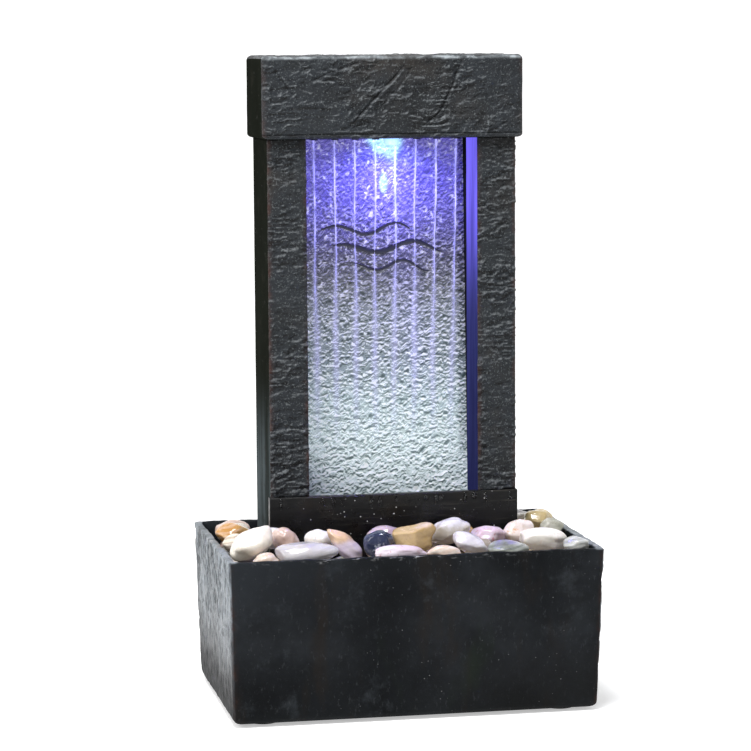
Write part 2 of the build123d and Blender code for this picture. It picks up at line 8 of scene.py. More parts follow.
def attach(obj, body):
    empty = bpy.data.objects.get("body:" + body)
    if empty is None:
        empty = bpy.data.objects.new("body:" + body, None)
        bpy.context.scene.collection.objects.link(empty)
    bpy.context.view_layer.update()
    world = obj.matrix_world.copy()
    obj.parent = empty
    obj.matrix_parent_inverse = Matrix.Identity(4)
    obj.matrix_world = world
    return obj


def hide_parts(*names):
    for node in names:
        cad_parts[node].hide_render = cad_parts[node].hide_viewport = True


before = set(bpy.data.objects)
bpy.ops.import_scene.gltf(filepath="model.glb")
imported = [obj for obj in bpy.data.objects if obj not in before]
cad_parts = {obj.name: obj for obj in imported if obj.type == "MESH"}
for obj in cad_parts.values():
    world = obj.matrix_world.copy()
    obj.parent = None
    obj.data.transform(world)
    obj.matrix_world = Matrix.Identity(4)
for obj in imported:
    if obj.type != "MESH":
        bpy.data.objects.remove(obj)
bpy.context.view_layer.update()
MM = 0.001

# Sizes shared with the CAD source, in millimetres
RIM_Z = 66.0
FOOT_Z = 1.2
BASIN_TOP = (150.0, 102.0)
BASIN_FOOT = (146.4, 95.6)
WINDOW_W = 69.7
TOWER_W = 101.4
FRONT = -2.4
BACK = 34.0
APRON_Z = 83.1
CAP_Z = 226.7
TOP_Z = 260.0
PANEL_Y = 16.7
PANEL_T = 3.0
LEAN = math.radians(2.95)
STREAMS = 8
LAMP_X = 2.4 * MM  # in metres


# ---- noise

def lattice(ix, iy, iz, seed):
    """A repeatable value from -1 to 1 at each whole-number point."""
    h = (ix.astype(np.int64) * 374761393 + iy.astype(np.int64) * 668265263
         + iz.astype(np.int64) * 1442695041 + seed * 974634777) & 0xFFFFFFFF
    h = ((h ^ (h >> 13)) * 1274126177) & 0xFFFFFFFF
    h = ((h ^ (h >> 16)) * 2246822519) & 0xFFFFFFFF
    return ((h >> 8) & 0xFFFF) / 32767.5 - 1.0


def noise(p, size, seed):
    """Smooth noise from -1 to 1 at points p. size is one feature's width, or three of them."""
    q = p / np.array(size, float)
    f = np.floor(q)
    t = q - f
    t = t * t * t * (t * (t * 6 - 15) + 10)
    total = 0.0
    for dx in (0, 1):
        wx = t[:, 0] if dx else 1 - t[:, 0]
        for dy in (0, 1):
            wy = t[:, 1] if dy else 1 - t[:, 1]
            for dz in (0, 1):
                wz = t[:, 2] if dz else 1 - t[:, 2]
                total = total + wx * wy * wz * lattice(f[:, 0] + dx, f[:, 1] + dy, f[:, 2] + dz, seed)
    return total


def octaves_of(one, p, size, octaves, seed, seed_step):
    """Several sizes of a noise added up, each half the size and the weight of the one before."""
    weights = [0.5 ** k for k in range(octaves)]
    sizes = [np.array(size, float) / 2 ** k for k in range(octaves)]
    layers = [w * one(p, s, seed + seed_step * k) for k, (w, s) in enumerate(zip(weights, sizes))]
    return sum(layers) / sum(weights)


def fbm(p, size, octaves, seed):
    """Layered smooth noise from -1 to 1."""
    return octaves_of(noise, p, size, octaves, seed, 17)


def crested(p, size, seed):
    return (1 - np.abs(noise(p, size, seed))) ** 2


def ridged(p, size, octaves, seed):
    """Layered sharp-crested noise from 0 to 1."""
    return octaves_of(crested, p, size, octaves, seed, 31)


def smooth(x, a, b):
    """0 below a, 1 above b, and smooth between."""
    t = np.clip((x - a) / (b - a), 0, 1)
    return t * t * (3 - 2 * t)


def hump(d, width):
    """1 where d is 0, falling to nothing some way beyond a width."""
    return np.exp(-(d / width) ** 2)


def arris(gap_x, gap_y, spread, reach=9):
    """1 at an upright edge, falling away with the distances from the two faces that meet there."""
    return np.exp(-(np.minimum(gap_x, reach) ** 2 + np.minimum(gap_y, reach) ** 2) / spread)


def even(field):
    """A field brought to a mean of 0 and a spread of 1."""
    return (field - field.mean()) / field.std()


def quarter(n):
    """(sine, cosine) at n even steps of a right angle, without its start."""
    return [(math.sin(math.pi / 2 * i / n), math.cos(math.pi / 2 * i / n)) for i in range(1, n + 1)]


def steps(a, b, n):
    """n even steps from a to b, without a."""
    return [a + (b - a) * i / n for i in range(1, n + 1)]


# ---- mesh helpers

def outline(hx, hy, r, along, across, corner, cy=0.0):
    """Points round a rounded rectangle, the same number whatever its size."""
    signs = [(1, 1), (-1, 1), (-1, -1), (1, -1)]
    pts = []
    for k in range(4):
        (sx, sy), (next_sx, next_sy) = signs[k], signs[(k + 1) % 4]
        for i in range(corner + 1):
            a = math.pi / 2 * (k + i / corner)
            pts.append((sx * (hx - r) + r * math.cos(a), sy * (hy - r) + r * math.sin(a)))
        a = math.pi / 2 * (k + 1)
        x0, y0 = pts[-1]
        x1, y1 = next_sx * (hx - r) + r * math.cos(a), next_sy * (hy - r) + r * math.sin(a)
        n = along if k in (0, 2) else across
        pts += [(x0 + (x1 - x0) * i / n, y0 + (y1 - y0) * i / n) for i in range(1, n)]
    return np.array(pts) + (0, cy)


def ring(xy, z):
    """An outline lifted to a height."""
    return np.column_stack([xy, np.full(len(xy), float(z))])


def spine(r, cy=0.0):
    """A ring drawn in to the line along its middle."""
    hx, hy = np.abs(r[:, 0]).max(), np.abs(r[:, 1] - cy).max()
    out = r.copy()
    if hx >= hy:
        out[:, 0] = np.clip(out[:, 0], -(hx - hy), hx - hy)
        out[:, 1] = cy
    else:
        out[:, 0] = 0
        out[:, 1] = np.clip(out[:, 1], cy - (hy - hx), cy + (hy - hx))
    return out


def between(a, b, n, ends=False):
    """n rings evenly between two, without them unless ends is set."""
    if ends:
        return [a + (b - a) * i / n for i in range(n + 1)]
    return [a + (b - a) * i / (n + 1) for i in range(1, n + 1)]


def shade_smooth(mesh):
    mesh.polygons.foreach_set("use_smooth", [True] * len(mesh.polygons))


def new_object(name, data):
    """An object in the scene around a mesh, a light or a camera."""
    ob = bpy.data.objects.new(name, data)
    bpy.context.scene.collection.objects.link(ob)
    return ob


def add_object(name, verts, faces, body, material):
    """Make a smooth mesh object in metres from millimetres, riding on a body."""
    mesh = bpy.data.meshes.new(name)
    mesh.from_pydata((np.asarray(verts, float) * MM).tolist(), [], faces)
    mesh.validate()
    mesh.materials.append(material)
    shade_smooth(mesh)
    ob = new_object(name, mesh)
    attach(ob, body)
    return ob


def from_bmesh(name, bm, material):
    """Make a smooth mesh object from a bmesh, which is then freed."""
    mesh = bpy.data.meshes.new(name)
    bm.to_mesh(mesh)
    bm.free()
    mesh.materials.append(material)
    shade_smooth(mesh)
    return new_object(name, mesh)


def tidy_mesh(ob):
    """Join vertices that coincide and face the normals outwards."""
    dist = 1e-6
    bm = bmesh.new()
    bm.from_mesh(ob.data)
    bmesh.ops.remove_doubles(bm, verts=bm.verts, dist=dist)
    bmesh.ops.dissolve_degenerate(bm, edges=bm.edges, dist=dist / 4)
    bmesh.ops.recalc_face_normals(bm, faces=bm.faces)
    bm.to_mesh(ob.data)
    bm.free()
    shade_smooth(ob.data)
    ob.data.update()


def ring_object(name, rings, body, material, loop=False):
    """A skin over a row of rings. With loop, the last ring joins the first."""
    n = len(rings[0])
    verts = np.concatenate(rings)
    faces = []
    count = len(rings)
    for i in range(count if loop else count - 1):
        a, b = i * n, ((i + 1) % count) * n
        for j in range(n):
            k = (j + 1) % n
            faces.append((a + j, a + k, b + k, b + j))
    ob = add_object(name, verts, faces, body, material)
    tidy_mesh(ob)
    return ob


def coords(ob):
    """(points in millimetres, normals)"""
    mesh = ob.data
    co = np.empty(len(mesh.vertices) * 3, np.float32)
    no = np.empty(len(mesh.vertices) * 3, np.float32)
    mesh.vertices.foreach_get("co", co)
    mesh.vertex_normals.foreach_get("vector", no)
    return co.reshape(-1, 3).astype(float) / MM, no.reshape(-1, 3).astype(float)


def set_coords(ob, co):
    ob.data.vertices.foreach_set("co", (co * MM).astype(np.float32).ravel())
    ob.data.update()


def set_attributes(ob, **fields):
    """Numbers at each vertex, for the material to read."""
    for name, values in fields.items():
        attribute = ob.data.attributes.new(name, "FLOAT", "POINT")
        attribute.data.foreach_set("value", np.asarray(values, np.float32))


def paint_faces(ob, chosen, slot=1):
    """Give a material slot to the faces whose corners are mostly in a set of vertices."""
    mesh = ob.data
    flags = np.asarray(chosen, bool)
    for p in mesh.polygons:
        if sum(flags[v] for v in p.vertices) * 2 > len(p.vertices):
            p.material_index = slot
    mesh.update()


def line_distance(x, z, points):
    """Signed distance from points (x, z) to a broken line, positive on its left, and where along it."""
    best = np.full(len(x), 1e9)
    sign = np.ones(len(x))
    along = np.zeros(len(x))
    total = sum(math.dist(a, b) for a, b in zip(points, points[1:]))
    done = 0.0
    for a, b in zip(points, points[1:]):
        dx, dz = b[0] - a[0], b[1] - a[1]
        length = math.hypot(dx, dz)
        t = np.clip(((x - a[0]) * dx + (z - a[1]) * dz) / length ** 2, 0, 1)
        px, pz = x - (a[0] + dx * t), z - (a[1] + dz * t)
        d = np.hypot(px, pz)
        closer = d < best
        best = np.where(closer, d, best)
        sign = np.where(closer, np.sign(dx * pz - dz * px), sign)
        along = np.where(closer, (done + length * t) / total, along)
        done += length
    return best * sign, along


# ---- material helpers

class Nodes:
    """Short calls for building one material's nodes. colour is the base colour so far."""

    def __init__(self, name):
        self.material = bpy.data.materials.new(name)
        self.material.use_nodes = True
        self.tree = self.material.node_tree
        self.tree.nodes.clear()
        self.shader = self.node("BsdfPrincipled")
        self.link(self.shader.outputs[0], self.node("OutputMaterial").inputs[0])
        self.where = self.node("TexCoord").outputs["Object"]
        self.colour = None

    def link(self, a, b):
        self.tree.links.new(a, b)

    def put(self, socket, value):
        """Give a socket a value or a link."""
        if isinstance(value, bpy.types.NodeSocket):
            self.link(value, socket)
        elif socket.type == "RGBA":
            socket.default_value = (*value, 1.0)
        else:
            socket.default_value = value

    def put_all(self, node, inputs):
        """Set a node's inputs by name: underscores stand for spaces."""
        for key, value in inputs.items():
            self.put(node.inputs[key.replace("_", " ")], value)

    def node(self, kind, **inputs):
        node = self.tree.nodes.new("ShaderNode" + kind)
        self.put_all(node, inputs)
        return node

    def done(self, **inputs):
        """Set the shader's own sockets and hand back the material."""
        self.put_all(self.shader, {"Base_Color": self.colour, **inputs})
        return self.material

    def mapped(self, scale=(1, 1, 1), turn=(0, 0, 0), offset=(0, 0, 0)):
        return self.node("Mapping", Vector=self.where, Scale=scale, Rotation=turn, Location=offset).outputs[0]

    def noise(self, fineness, detail, rough, kind="FBM", **placing):
        """Noise on the object's own coordinates, mapped if a placing is given."""
        vector = self.mapped(**placing) if placing else self.where
        node = self.node("TexNoise", Vector=vector, Scale=fineness, Detail=detail, Roughness=rough)
        node.noise_type = kind
        return node.outputs[0]

    def patches(self, fineness, detail, rough, a, b, c=0.0, d=1.0, kind="FBM", **placing):
        """Noise from a to b brought to c to d: soft-edged patches."""
        return self.range(self.noise(fineness, detail, rough, kind, **placing), a, b, c, d)

    def cells(self, fineness):
        """Distance to the nearest of scattered points."""
        return self.node("TexVoronoi", Vector=self.where, Scale=fineness).outputs[0]

    def bands(self, fineness, **placing):
        """Wavy bands, one above another."""
        node = self.node("TexWave", Vector=self.mapped(**placing), Scale=fineness, Distortion=5.0, Detail=2.0)
        node.bands_direction = "Z"
        return node.outputs[1]

    def ramp(self, value, *stops):
        """Colours at places along 0 to 1."""
        node = self.node("ValToRGB")
        self.link(value, node.inputs[0])
        band = node.color_ramp
        while len(band.elements) < len(stops):
            band.elements.new(0.5)
        for element, (place, colour) in zip(band.elements, stops):
            element.position = place
            element.color = (*colour, 1.0)
        return node.outputs[0]

    def mix(self, factor, a, b, blend="MIX"):
        node = self.node("Mix")
        node.data_type, node.blend_type = "RGBA", blend
        for socket, value in ((0, factor), (6, a), (7, b)):
            self.put(node.inputs[socket], value)
        return node.outputs[2]

    def lay(self, mask, amount, tint):
        """Lay a tint over the colour so far, by a mask times an amount."""
        self.colour = self.mix(self.times(mask, amount), self.colour, tint)

    def math(self, op, *values):
        node = self.node("Math")
        node.operation = op
        for socket, value in zip(node.inputs, values):
            self.put(socket, value)
        return node.outputs[0]

    def times(self, a, b):
        return self.math("MULTIPLY", a, b)

    def fit(self, value, by, plus):
        """A value times one number or socket, plus another."""
        return self.math("MULTIPLY_ADD", value, by, plus)

    def range(self, value, a, b, c=0.0, d=1.0):
        """A value from a to b brought to c to d along an S curve."""
        node = self.node("MapRange", Value=value, From_Min=a, From_Max=b, To_Min=c, To_Max=d)
        node.interpolation_type = "SMOOTHSTEP"
        return node.outputs[0]

    def attribute(self, name):
        node = self.node("Attribute")
        node.attribute_name = name
        return node.outputs["Fac"]

    def axis(self, index):
        return self.node("SeparateXYZ", Vector=self.where).outputs[index]

    def bump(self, height, distance, strength, normal=None):
        node = self.node("Bump", Height=height, Distance=distance, Strength=strength)
        if normal:
            self.link(normal, node.inputs["Normal"])
        return node.outputs[0]

    def grained(self, *layers):
        """Bump from noise, each layer (fineness, detail, roughness, distance, strength)."""
        normal = None
        for fineness, detail, rough, distance, strength in layers:
            normal = self.bump(self.noise(fineness, detail, rough), distance, strength, normal)
        return normal


def shade(colour, k):
    return tuple(c * k for c in colour)


# ---- materials

def make_slate():
    """Cast slate relief: blue-grey to black, brown patina, painted highlight on the crests and painted shade in
    the hollows, and a painted highlight along the top edge, partly wear.
    """
    m = Nodes("slate_relief")
    relief = m.attribute("relief")
    m.colour = m.ramp(m.noise(28, 5, 0.6), (0.30, (0.0075, 0.0090, 0.0105)),
                      (0.52, (0.0150, 0.0190, 0.0235)), (0.72, (0.0090, 0.0115, 0.0125)))
    m.lay(m.patches(19, 5, 0.62, 0.50, 0.68, offset=(3.1, 1.7, 0.4)), 0.65, (0.030, 0.023, 0.0165))
    speck = m.patches(1100, 2, 0.5, 0.42, 0.68)
    # crests painted lighter and hollows painted darker by the relief attribute: painted highlight and painted
    # shade
    m.lay(m.range(relief, 0.60, 0.98), m.fit(speck, 0.55, 0.45), (0.150, 0.162, 0.170))
    m.lay(m.range(relief, 0.44, 0.14), 0.95, (0.0022, 0.0026, 0.0030))
    m.lay(m.patches(1500, 2, 0.6, 0.58, 0.70, offset=(2, 5, 1)), 0.6, (0.15, 0.165, 0.17))
    rust = m.patches(150, 4, 0.6, 0.40, 0.66)
    m.lay(m.attribute("edge"), m.fit(rust, 0.75, 0.05), (0.050, 0.019, 0.013))
    chip = m.patches(240, 4, 0.7, 0.40, 0.58, scale=(0.5, 1, 1))
    # painted highlight along the cap's top edge, partly wear, broken up in chips
    m.lay(m.attribute("worn"), m.fit(chip, 0.75, 0.25), (0.52, 0.57, 0.60))
    matt = m.patches(160, 4, 0.6, 0.3, 0.7, 0.32, 0.48)
    matt = m.math("SUBTRACT", matt, m.range(relief, 0.6, 0.95, 0.0, 0.12))
    return m.done(Roughness=matt, Specular_IOR_Level=0.26,
                  Normal=m.grained((1900, 3, 0.7, 0.0005, 0.85), (560, 4, 0.65, 0.0008, 0.8)))


def make_smooth_slate(name, spec):
    """The smooth painted sides and back of the tower and cap, with a grey painted sheen low down in upright
    streaks.
    """
    m = Nodes(name)
    m.colour = m.ramp(m.noise(35, 4, 0.55, scale=(1, 1, 0.25)),
                      (0.3, (0.0075, 0.0085, 0.0065)), (0.7, (0.0125, 0.014, 0.011)))
    upright = m.patches(90, 3, 0.5, 0.38, 0.60, scale=(0.2, 1, 0.12))
    # lighter grey low on the tower, in upright streaks: painted sheen
    m.lay(m.range(m.axis(2), 0.135, 0.080), m.fit(upright, 0.65, 0.25), (0.085, 0.103, 0.110))
    m.lay(m.patches(420, 4, 0.7, 0.62, 0.72, scale=(1, 0.3, 1)), 0.25, (0.09, 0.09, 0.085))
    m.lay(m.patches(130, 5, 0.7, 0.50, 0.72, scale=(1, 0.6, 1), offset=(5, 2, 8)), 0.45, (0.024, 0.023, 0.019))
    return m.done(Roughness=m.patches(240, 3, 0.5, 0.3, 0.7, 0.42, 0.58), Specular_IOR_Level=spec,
                  Normal=m.grained((900, 3, 0.6, 0.0003, 0.5), (260, 4, 0.6, 0.0005, 0.5)))


def make_jamb():
    """Inner walls of the window, wet, with the lamp's blue light painted on as a glow that grows toward the top.
    """
    m = Nodes("slate_jamb")
    height = m.axis(2)
    streak = m.noise(160, 4, 0.6, scale=(1, 1, 0.12))
    m.colour = m.ramp(streak, (0.3, (0.006, 0.007, 0.012)), (0.7, (0.014, 0.016, 0.026)))
    # painted light of the lamp: a blue glow, stronger toward the top
    near = m.range(height, 0.135, 0.205)
    light = m.fit(m.times(near, near), 0.72, m.range(height, 0.083, 0.19, 0.070, 0.17))
    return m.done(Roughness=m.range(streak, 0.3, 0.7, 0.22, 0.40), Specular_IOR_Level=0.0,
                  Emission_Color=m.mix(near, (0.14, 0.16, 0.85), (0.19, 0.15, 1.0)),
                  Emission_Strength=m.times(light, m.range(streak, 0.25, 0.70, 0.70, 1.25)),
                  Normal=m.bump(streak, 0.0003, 0.4))


def make_basin_stone(name, spec):
    """Basin: dark mottled slate, upright brown and green smudges; on its pitted sides a grey painted sheen, darker
    low down and in the pits.
    """
    m = Nodes(name)
    side, across, height = m.attribute("side"), m.axis(0), m.axis(2)
    m.colour = m.ramp(m.noise(22, 5, 0.6), (0.36, (0.0036, 0.0044, 0.0050)),
                      (0.52, (0.0078, 0.0092, 0.0104)), (0.66, (0.0150, 0.0172, 0.0195)))
    m.lay(m.patches(60, 4, 0.65, 0.54, 0.72, scale=(1, 1, 0.22)), 0.5, (0.0165, 0.0115, 0.0072))
    m.lay(m.patches(44, 3, 0.6, 0.58, 0.75, scale=(1, 1, 0.3), offset=(4, 2, 1)), 0.55, (0.0110, 0.0180, 0.0095))
    haze = m.patches(75, 5, 0.7, 0.54, 0.78, offset=(9, 2, 5))
    m.lay(haze, 0.55, (0.033, 0.038, 0.043))
    m.lay(m.patches(700, 4, 0.7, 0.56, 0.74, scale=(1, 1, 0.5)), 0.5, (0.040, 0.043, 0.046))
    # painted light toward the upper left of the front and painted shade toward its lower right
    pale = m.times(m.range(across, 0.0, -0.075), m.range(height, 0.036, 0.062))
    m.lay(pale, 0.30, (0.036, 0.042, 0.050))
    deep = m.times(m.range(across, -0.01, 0.06), m.range(height, 0.036, 0.010))
    m.lay(deep, 0.55, (0.0040, 0.0038, 0.0032))
    front = m.colour
    # the sides: a light grey that is painted sheen, darker low down where the painted sheen fades
    low = m.ramp(m.noise(90, 4, 0.65, scale=(1, 1, 0.15)),
                 (0.3, (0.006, 0.006, 0.0065)), (0.7, (0.026, 0.026, 0.027)))
    wall = m.ramp(m.noise(60, 5, 0.7, scale=(1, 1, 0.45)),
                  (0.34, (0.060, 0.070, 0.078)), (0.64, (0.27, 0.305, 0.335)))
    m.colour = m.mix(m.range(height, 0.010, 0.050), low, wall)
    m.lay(m.patches(620, 4, 0.7, 0.50, 0.62, scale=(1, 1, 0.4)), 0.55, (0.030, 0.034, 0.037))
    # pits painted dark: painted shade in the hollows
    m.lay(m.attribute("pit"), 0.8, (0.008, 0.0085, 0.009))
    m.colour = m.mix(side, front, m.colour)
    m.lay(m.attribute("edge"), m.fit(m.patches(170, 4, 0.65, 0.42, 0.66), 0.8, 0.1), (0.036, 0.016, 0.011))
    # white chips along the rim
    chips = m.patches(430, 4, 0.75, 0.57, 0.66, scale=(0.35, 0.35, 1))
    gathered = m.fit(m.patches(28, 2, 0.5, 0.40, 0.56, offset=(0.6, 0, 0)), 0.85, 0.15)
    m.lay(m.times(m.range(height, 0.0640, 0.0650), m.times(chips, gathered)), 0.8, (0.36, 0.36, 0.37))
    # bright specks and hair scratches
    few = m.patches(60, 3, 0.6, 0.50, 0.64, offset=(1, 7, 3))
    m.lay(m.range(m.cells(360), 0.085, 0.050), m.times(few, 0.85), (0.20, 0.20, 0.20))
    hair = m.patches(75, 1.5, 0.4, 0.955, 0.99, kind="RIDGED_MULTIFRACTAL",
                     scale=(1, 1, 5.5), turn=(0, math.radians(18), 0))
    m.lay(hair, m.times(haze, 0.5), (0.10, 0.10, 0.10))
    matt = m.patches(90, 4, 0.6, 0.3, 0.7, 0.46, 0.66)
    worn = m.math("ADD", m.patches(200, 4, 0.6, 0.3, 0.7, 0.30, 0.46), m.range(height, 0.030, 0.004, 0.0, 0.30))
    return m.done(Roughness=m.mix(side, matt, worn), Specular_IOR_Level=spec,
                  Normal=m.grained((1500, 3, 0.65, 0.00022, 0.6), (330, 4, 0.6, 0.0003, 0.5)))


def make_wet_slate():
    """Apron and sill: near black, wet, with fine lines along it, beads of water and tiny painted glints."""
    m = Nodes("wet_slate")
    streak = m.noise(300, 4, 0.65, scale=(0.10, 1, 1.6))
    m.colour = m.ramp(streak, (0.35, (0.0022, 0.0022, 0.0024)),
                      (0.58, (0.0058, 0.0058, 0.0058)), (0.70, (0.028, 0.026, 0.022)))
    m.lay(m.patches(45, 4, 0.6, 0.52, 0.72), 0.6, (0.0130, 0.0080, 0.0050))
    # tiny white dots: painted glints of the wet surface
    m.lay(m.range(m.cells(480), 0.14, 0.08), m.patches(160, 3, 0.6, 0.50, 0.60), (0.70, 0.71, 0.71))
    beads = m.range(m.cells(420), 0.32, 0.10)
    return m.done(Roughness=m.patches(120, 4, 0.65, 0.3, 0.7, 0.20, 0.45), Specular_IOR_Level=0.22,
                  Normal=m.bump(m.fit(beads, 0.35, streak), 0.0003, 0.5))


def make_plastic(name, colour, rough=0.45, spec=0.4, grain=900, depth=0.00008):
    """Moulded plastic with a fine grain and slight unevenness."""
    m = Nodes(name)
    m.colour = m.mix(m.noise(60, 4, 0.6), shade(colour, 0.72), colour)
    return m.done(Roughness=m.patches(150, 3, 0.5, 0.3, 0.7, rough - 0.06, rough + 0.08),
                  Specular_IOR_Level=spec, Normal=m.grained((grain, 3, 0.55, depth, 0.5)))


def make_metal(name, colour):
    """Brushed or plated metal."""
    m = Nodes(name)
    brushed = m.noise(500, 3, 0.5, scale=(1, 1, 0.1))
    m.colour = m.mix(brushed, shade(colour, 0.8), colour)
    return m.done(Metallic=1.0, Roughness=m.range(brushed, 0.3, 0.7, 0.22, 0.40))


def make_sponge():
    """Open-celled black foam."""
    m = Nodes("filter_foam")
    cell = m.cells(900)
    m.colour = m.mix(m.range(cell, 0.2, 0.6), (0.045, 0.045, 0.05), (0.008, 0.008, 0.009))
    return m.done(Roughness=m.range(cell, 0.2, 0.7, 0.75, 0.95), Normal=m.bump(cell, 0.0006, 0.9))


def make_vinyl():
    """Clear flexible tube, a little cloudy."""
    m = Nodes("clear_vinyl")
    cloud = m.noise(90, 4, 0.6)
    m.colour = m.mix(cloud, (0.70, 0.76, 0.78), (0.86, 0.90, 0.91))
    return m.done(Roughness=m.range(cloud, 0.3, 0.7, 0.12, 0.25), Transmission_Weight=0.7, IOR=1.5,
                  Normal=m.grained((240, 3, 0.5, 0.0002, 0.3)))


def make_panel_glass():
    """Hammered clear panel: the lamp's blue and violet light painted in above, the white backdrop seen through
    painted as grey-white low down, and painted light and shade on its ripples.
    """
    m = Nodes("rippled_panel")
    ripple, curl, glow = m.attribute("ripple"), m.attribute("curl"), m.attribute("glow")
    height = m.axis(2)
    # colour by height: painted violet lamp light above, painted grey-white of the backdrop seen through low down
    body = m.ramp(
        m.range(height, 0.083, 0.227), (0.00, (0.80, 0.92, 0.93)), (0.14, (0.60, 0.72, 0.74)),
        (0.30, (0.32, 0.385, 0.42)), (0.46, (0.30, 0.345, 0.37)), (0.62, (0.180, 0.192, 0.200)),
        (0.74, (0.138, 0.138, 0.19)), (0.88, (0.20, 0.184, 0.47)), (1.00, (0.20, 0.175, 0.60)))
    # ripple: painted shade on one side of each ripple and painted highlight on the other
    dark = m.times(m.range(ripple, 0.50, 0.22), m.range(height, 0.21, 0.13, 0.70, 0.95))
    m.colour = m.mix(dark, body, m.mix(1.0, body, (0.22, 0.27, 0.28), "MULTIPLY"))
    m.lay(m.range(ripple, 0.52, 0.80), m.range(height, 0.205, 0.125, 0.22, 0.95), (0.97, 1.0, 1.0))
    # curl: painted white glints; run: painted lamp light on the runs of water
    m.lay(curl, m.range(height, 0.12, 0.18), (0.92, 0.94, 1.0))
    m.lay(m.attribute("run"), 0.55, (0.66, 0.67, 0.98))
    # painted light of the lamp: a glow in the panel
    violet = m.mix(m.range(glow, 0.40, 0.90), (0.13, 0.10, 0.62), (0.42, 0.86, 0.92))
    strength = m.times(glow, m.fit(m.fit(curl, 1.6, ripple), 0.50, 0.12))
    strength = m.math("ADD", strength, m.range(glow, 0.58, 0.92, 0.0, 0.45))
    return m.done(Roughness=m.range(ripple, 0.2, 0.8, 0.18, 0.32), IOR=1.2,
                  Transmission_Weight=m.range(height, 0.086, 0.104, 0.12, 0.5),
                  Emission_Color=violet, Emission_Strength=strength,
                  Normal=m.bump(m.noise(900, 3, 0.6, scale=(0.6, 1, 1.3)), 0.0003, 0.5))


def make_water():
    """Running water, with the lamp's violet light painted on near the top as colour and glow."""
    m = Nodes("running_water")
    height = m.axis(2)
    m.colour = m.mix(m.range(height, 0.14, 0.20), (0.80, 0.86, 0.92), (0.74, 0.76, 1.0))
    flicker = m.patches(500, 3, 0.6, 0.3, 0.7, scale=(1, 1, 0.3))
    return m.done(Roughness=m.range(flicker, 0, 1, 0.03, 0.12), Transmission_Weight=0.6, IOR=1.33,
                  Emission_Color=(0.42, 0.40, 1.0),
                  Emission_Strength=m.times(flicker, m.range(height, 0.14, 0.21, 0.05, 0.85)))


def make_drops():
    """Still drops of clear water."""
    m = Nodes("water_drops")
    m.colour = m.mix(m.noise(600, 2, 0.5), (0.80, 0.82, 0.84), (0.97, 0.98, 1.0))
    return m.done(Roughness=0.04, Transmission_Weight=1.0, IOR=1.33,
                  Normal=m.grained((1800, 2, 0.5, 0.00005, 0.3)))


def make_ink():
    """Dark blue-black print."""
    m = Nodes("dark_print")
    m.colour = m.mix(m.noise(300, 4, 0.6), (0.004, 0.005, 0.014), (0.012, 0.014, 0.035))
    return m.done(Roughness=m.patches(400, 3, 0.5, 0.3, 0.7, 0.25, 0.4),
                  Normal=m.grained((900, 3, 0.5, 0.0001, 0.4)))


def make_lamp(name, colour, strength):
    """A lit lens or emitter."""
    m = Nodes(name)
    m.colour = m.mix(m.noise(800, 2, 0.5), colour, (0.8, 0.95, 1.0))
    return m.done(Roughness=0.2, Emission_Color=colour, Emission_Strength=strength)


def make_stone(name, main, second, third, scale, bands=0.0, spots=0.0, veins=0.0, clear=0.0, rough=0.2, top=None):
    """A polished pebble: a main colour drifting to a second, with bands, spots or veins of a third,
    and above a level a tint: the stone's own colour on most, a painted violet highlight on the dark green-grey."""
    m = Nodes("stone_" + name)
    m.colour = m.mix(m.patches(scale, 5, 0.6, 0.34, 0.68), main, second)
    if bands:
        band = m.bands(scale * 1.2, scale=(0.6, 0.5, 1.7), turn=(0.3, 0.5, 0.2))
        m.lay(m.range(band, 0.45, 0.85), bands, third)
    if spots:
        m.lay(m.patches(scale * 6, 3, 0.6, 0.60, 0.70), spots, third)
    if veins:
        m.lay(m.patches(scale * 1.3, 4, 0.6, 0.60, 0.84, kind="RIDGED_MULTIFRACTAL"), veins, third)
    m.lay(m.patches(scale * 0.9, 6, 0.68, 0.50, 0.74, offset=(3, 1, 2)), 0.38, third)
    if top:
        tint, level = top
        ragged = m.fit(m.noise(scale * 1.4, 4, 0.6), 0.006, m.axis(2))
        m.lay(m.range(ragged, level * MM + 0.0018, level * MM + 0.0042), 0.85, tint)
    m.lay(m.patches(scale * 4, 4, 0.7, 0.40, 0.72), 0.38, m.mix(1.0, m.colour, (0.62, 0.56, 0.50), "MULTIPLY"))
    return m.done(Roughness=m.patches(scale * 3, 3, 0.5, 0.3, 0.7, rough - 0.08, rough + 0.14),
                  Subsurface_Weight=0.12 + clear, Subsurface_Radius=(0.004, 0.0035, 0.003), Subsurface_Scale=0.6,
                  Coat_Weight=0.25, Coat_Roughness=0.08, Normal=m.grained((scale * 5, 3, 0.55, 0.00012, 0.3)))


SLATE = make_slate()
SMOOTH = make_smooth_slate("slate_smooth", 0.0)
BACK_PAINT = make_smooth_slate("slate_back", 0.15)
JAMB = make_jamb()
BASIN_STONE = make_basin_stone("basin_stone", 0.06)
BASIN_SIDE = make_basin_stone("basin_side", 0.15)
WET = make_wet_slate()
BLACK = make_plastic("black_moulding", (0.020, 0.020, 0.022))
PUMP = make_plastic("pump_moulding", (0.045, 0.047, 0.052), 0.38)
GREY = make_plastic("grey_moulding", (0.30, 0.31, 0.33), 0.42)
ROTOR = make_plastic("rotor_moulding", (0.50, 0.51, 0.52), 0.5)
RUBBER = make_plastic("black_rubber", (0.016, 0.016, 0.016), 0.72, 0.25, 1600, 0.00012)
MILKY = make_plastic("milky_rubber", (0.68, 0.70, 0.70), 0.5, 0.3)
BOARD = make_plastic("circuit_board", (0.03, 0.22, 0.09), 0.35)
COIL = make_plastic("potted_coil", (0.12, 0.07, 0.04), 0.4)
CERAMIC = make_plastic("white_ceramic", (0.88, 0.87, 0.84), 0.2)
STEEL = make_metal("plated_steel", (0.62, 0.62, 0.62))
BRASS = make_metal("brass_pin", (0.78, 0.60, 0.28))
SPONGE = make_sponge()
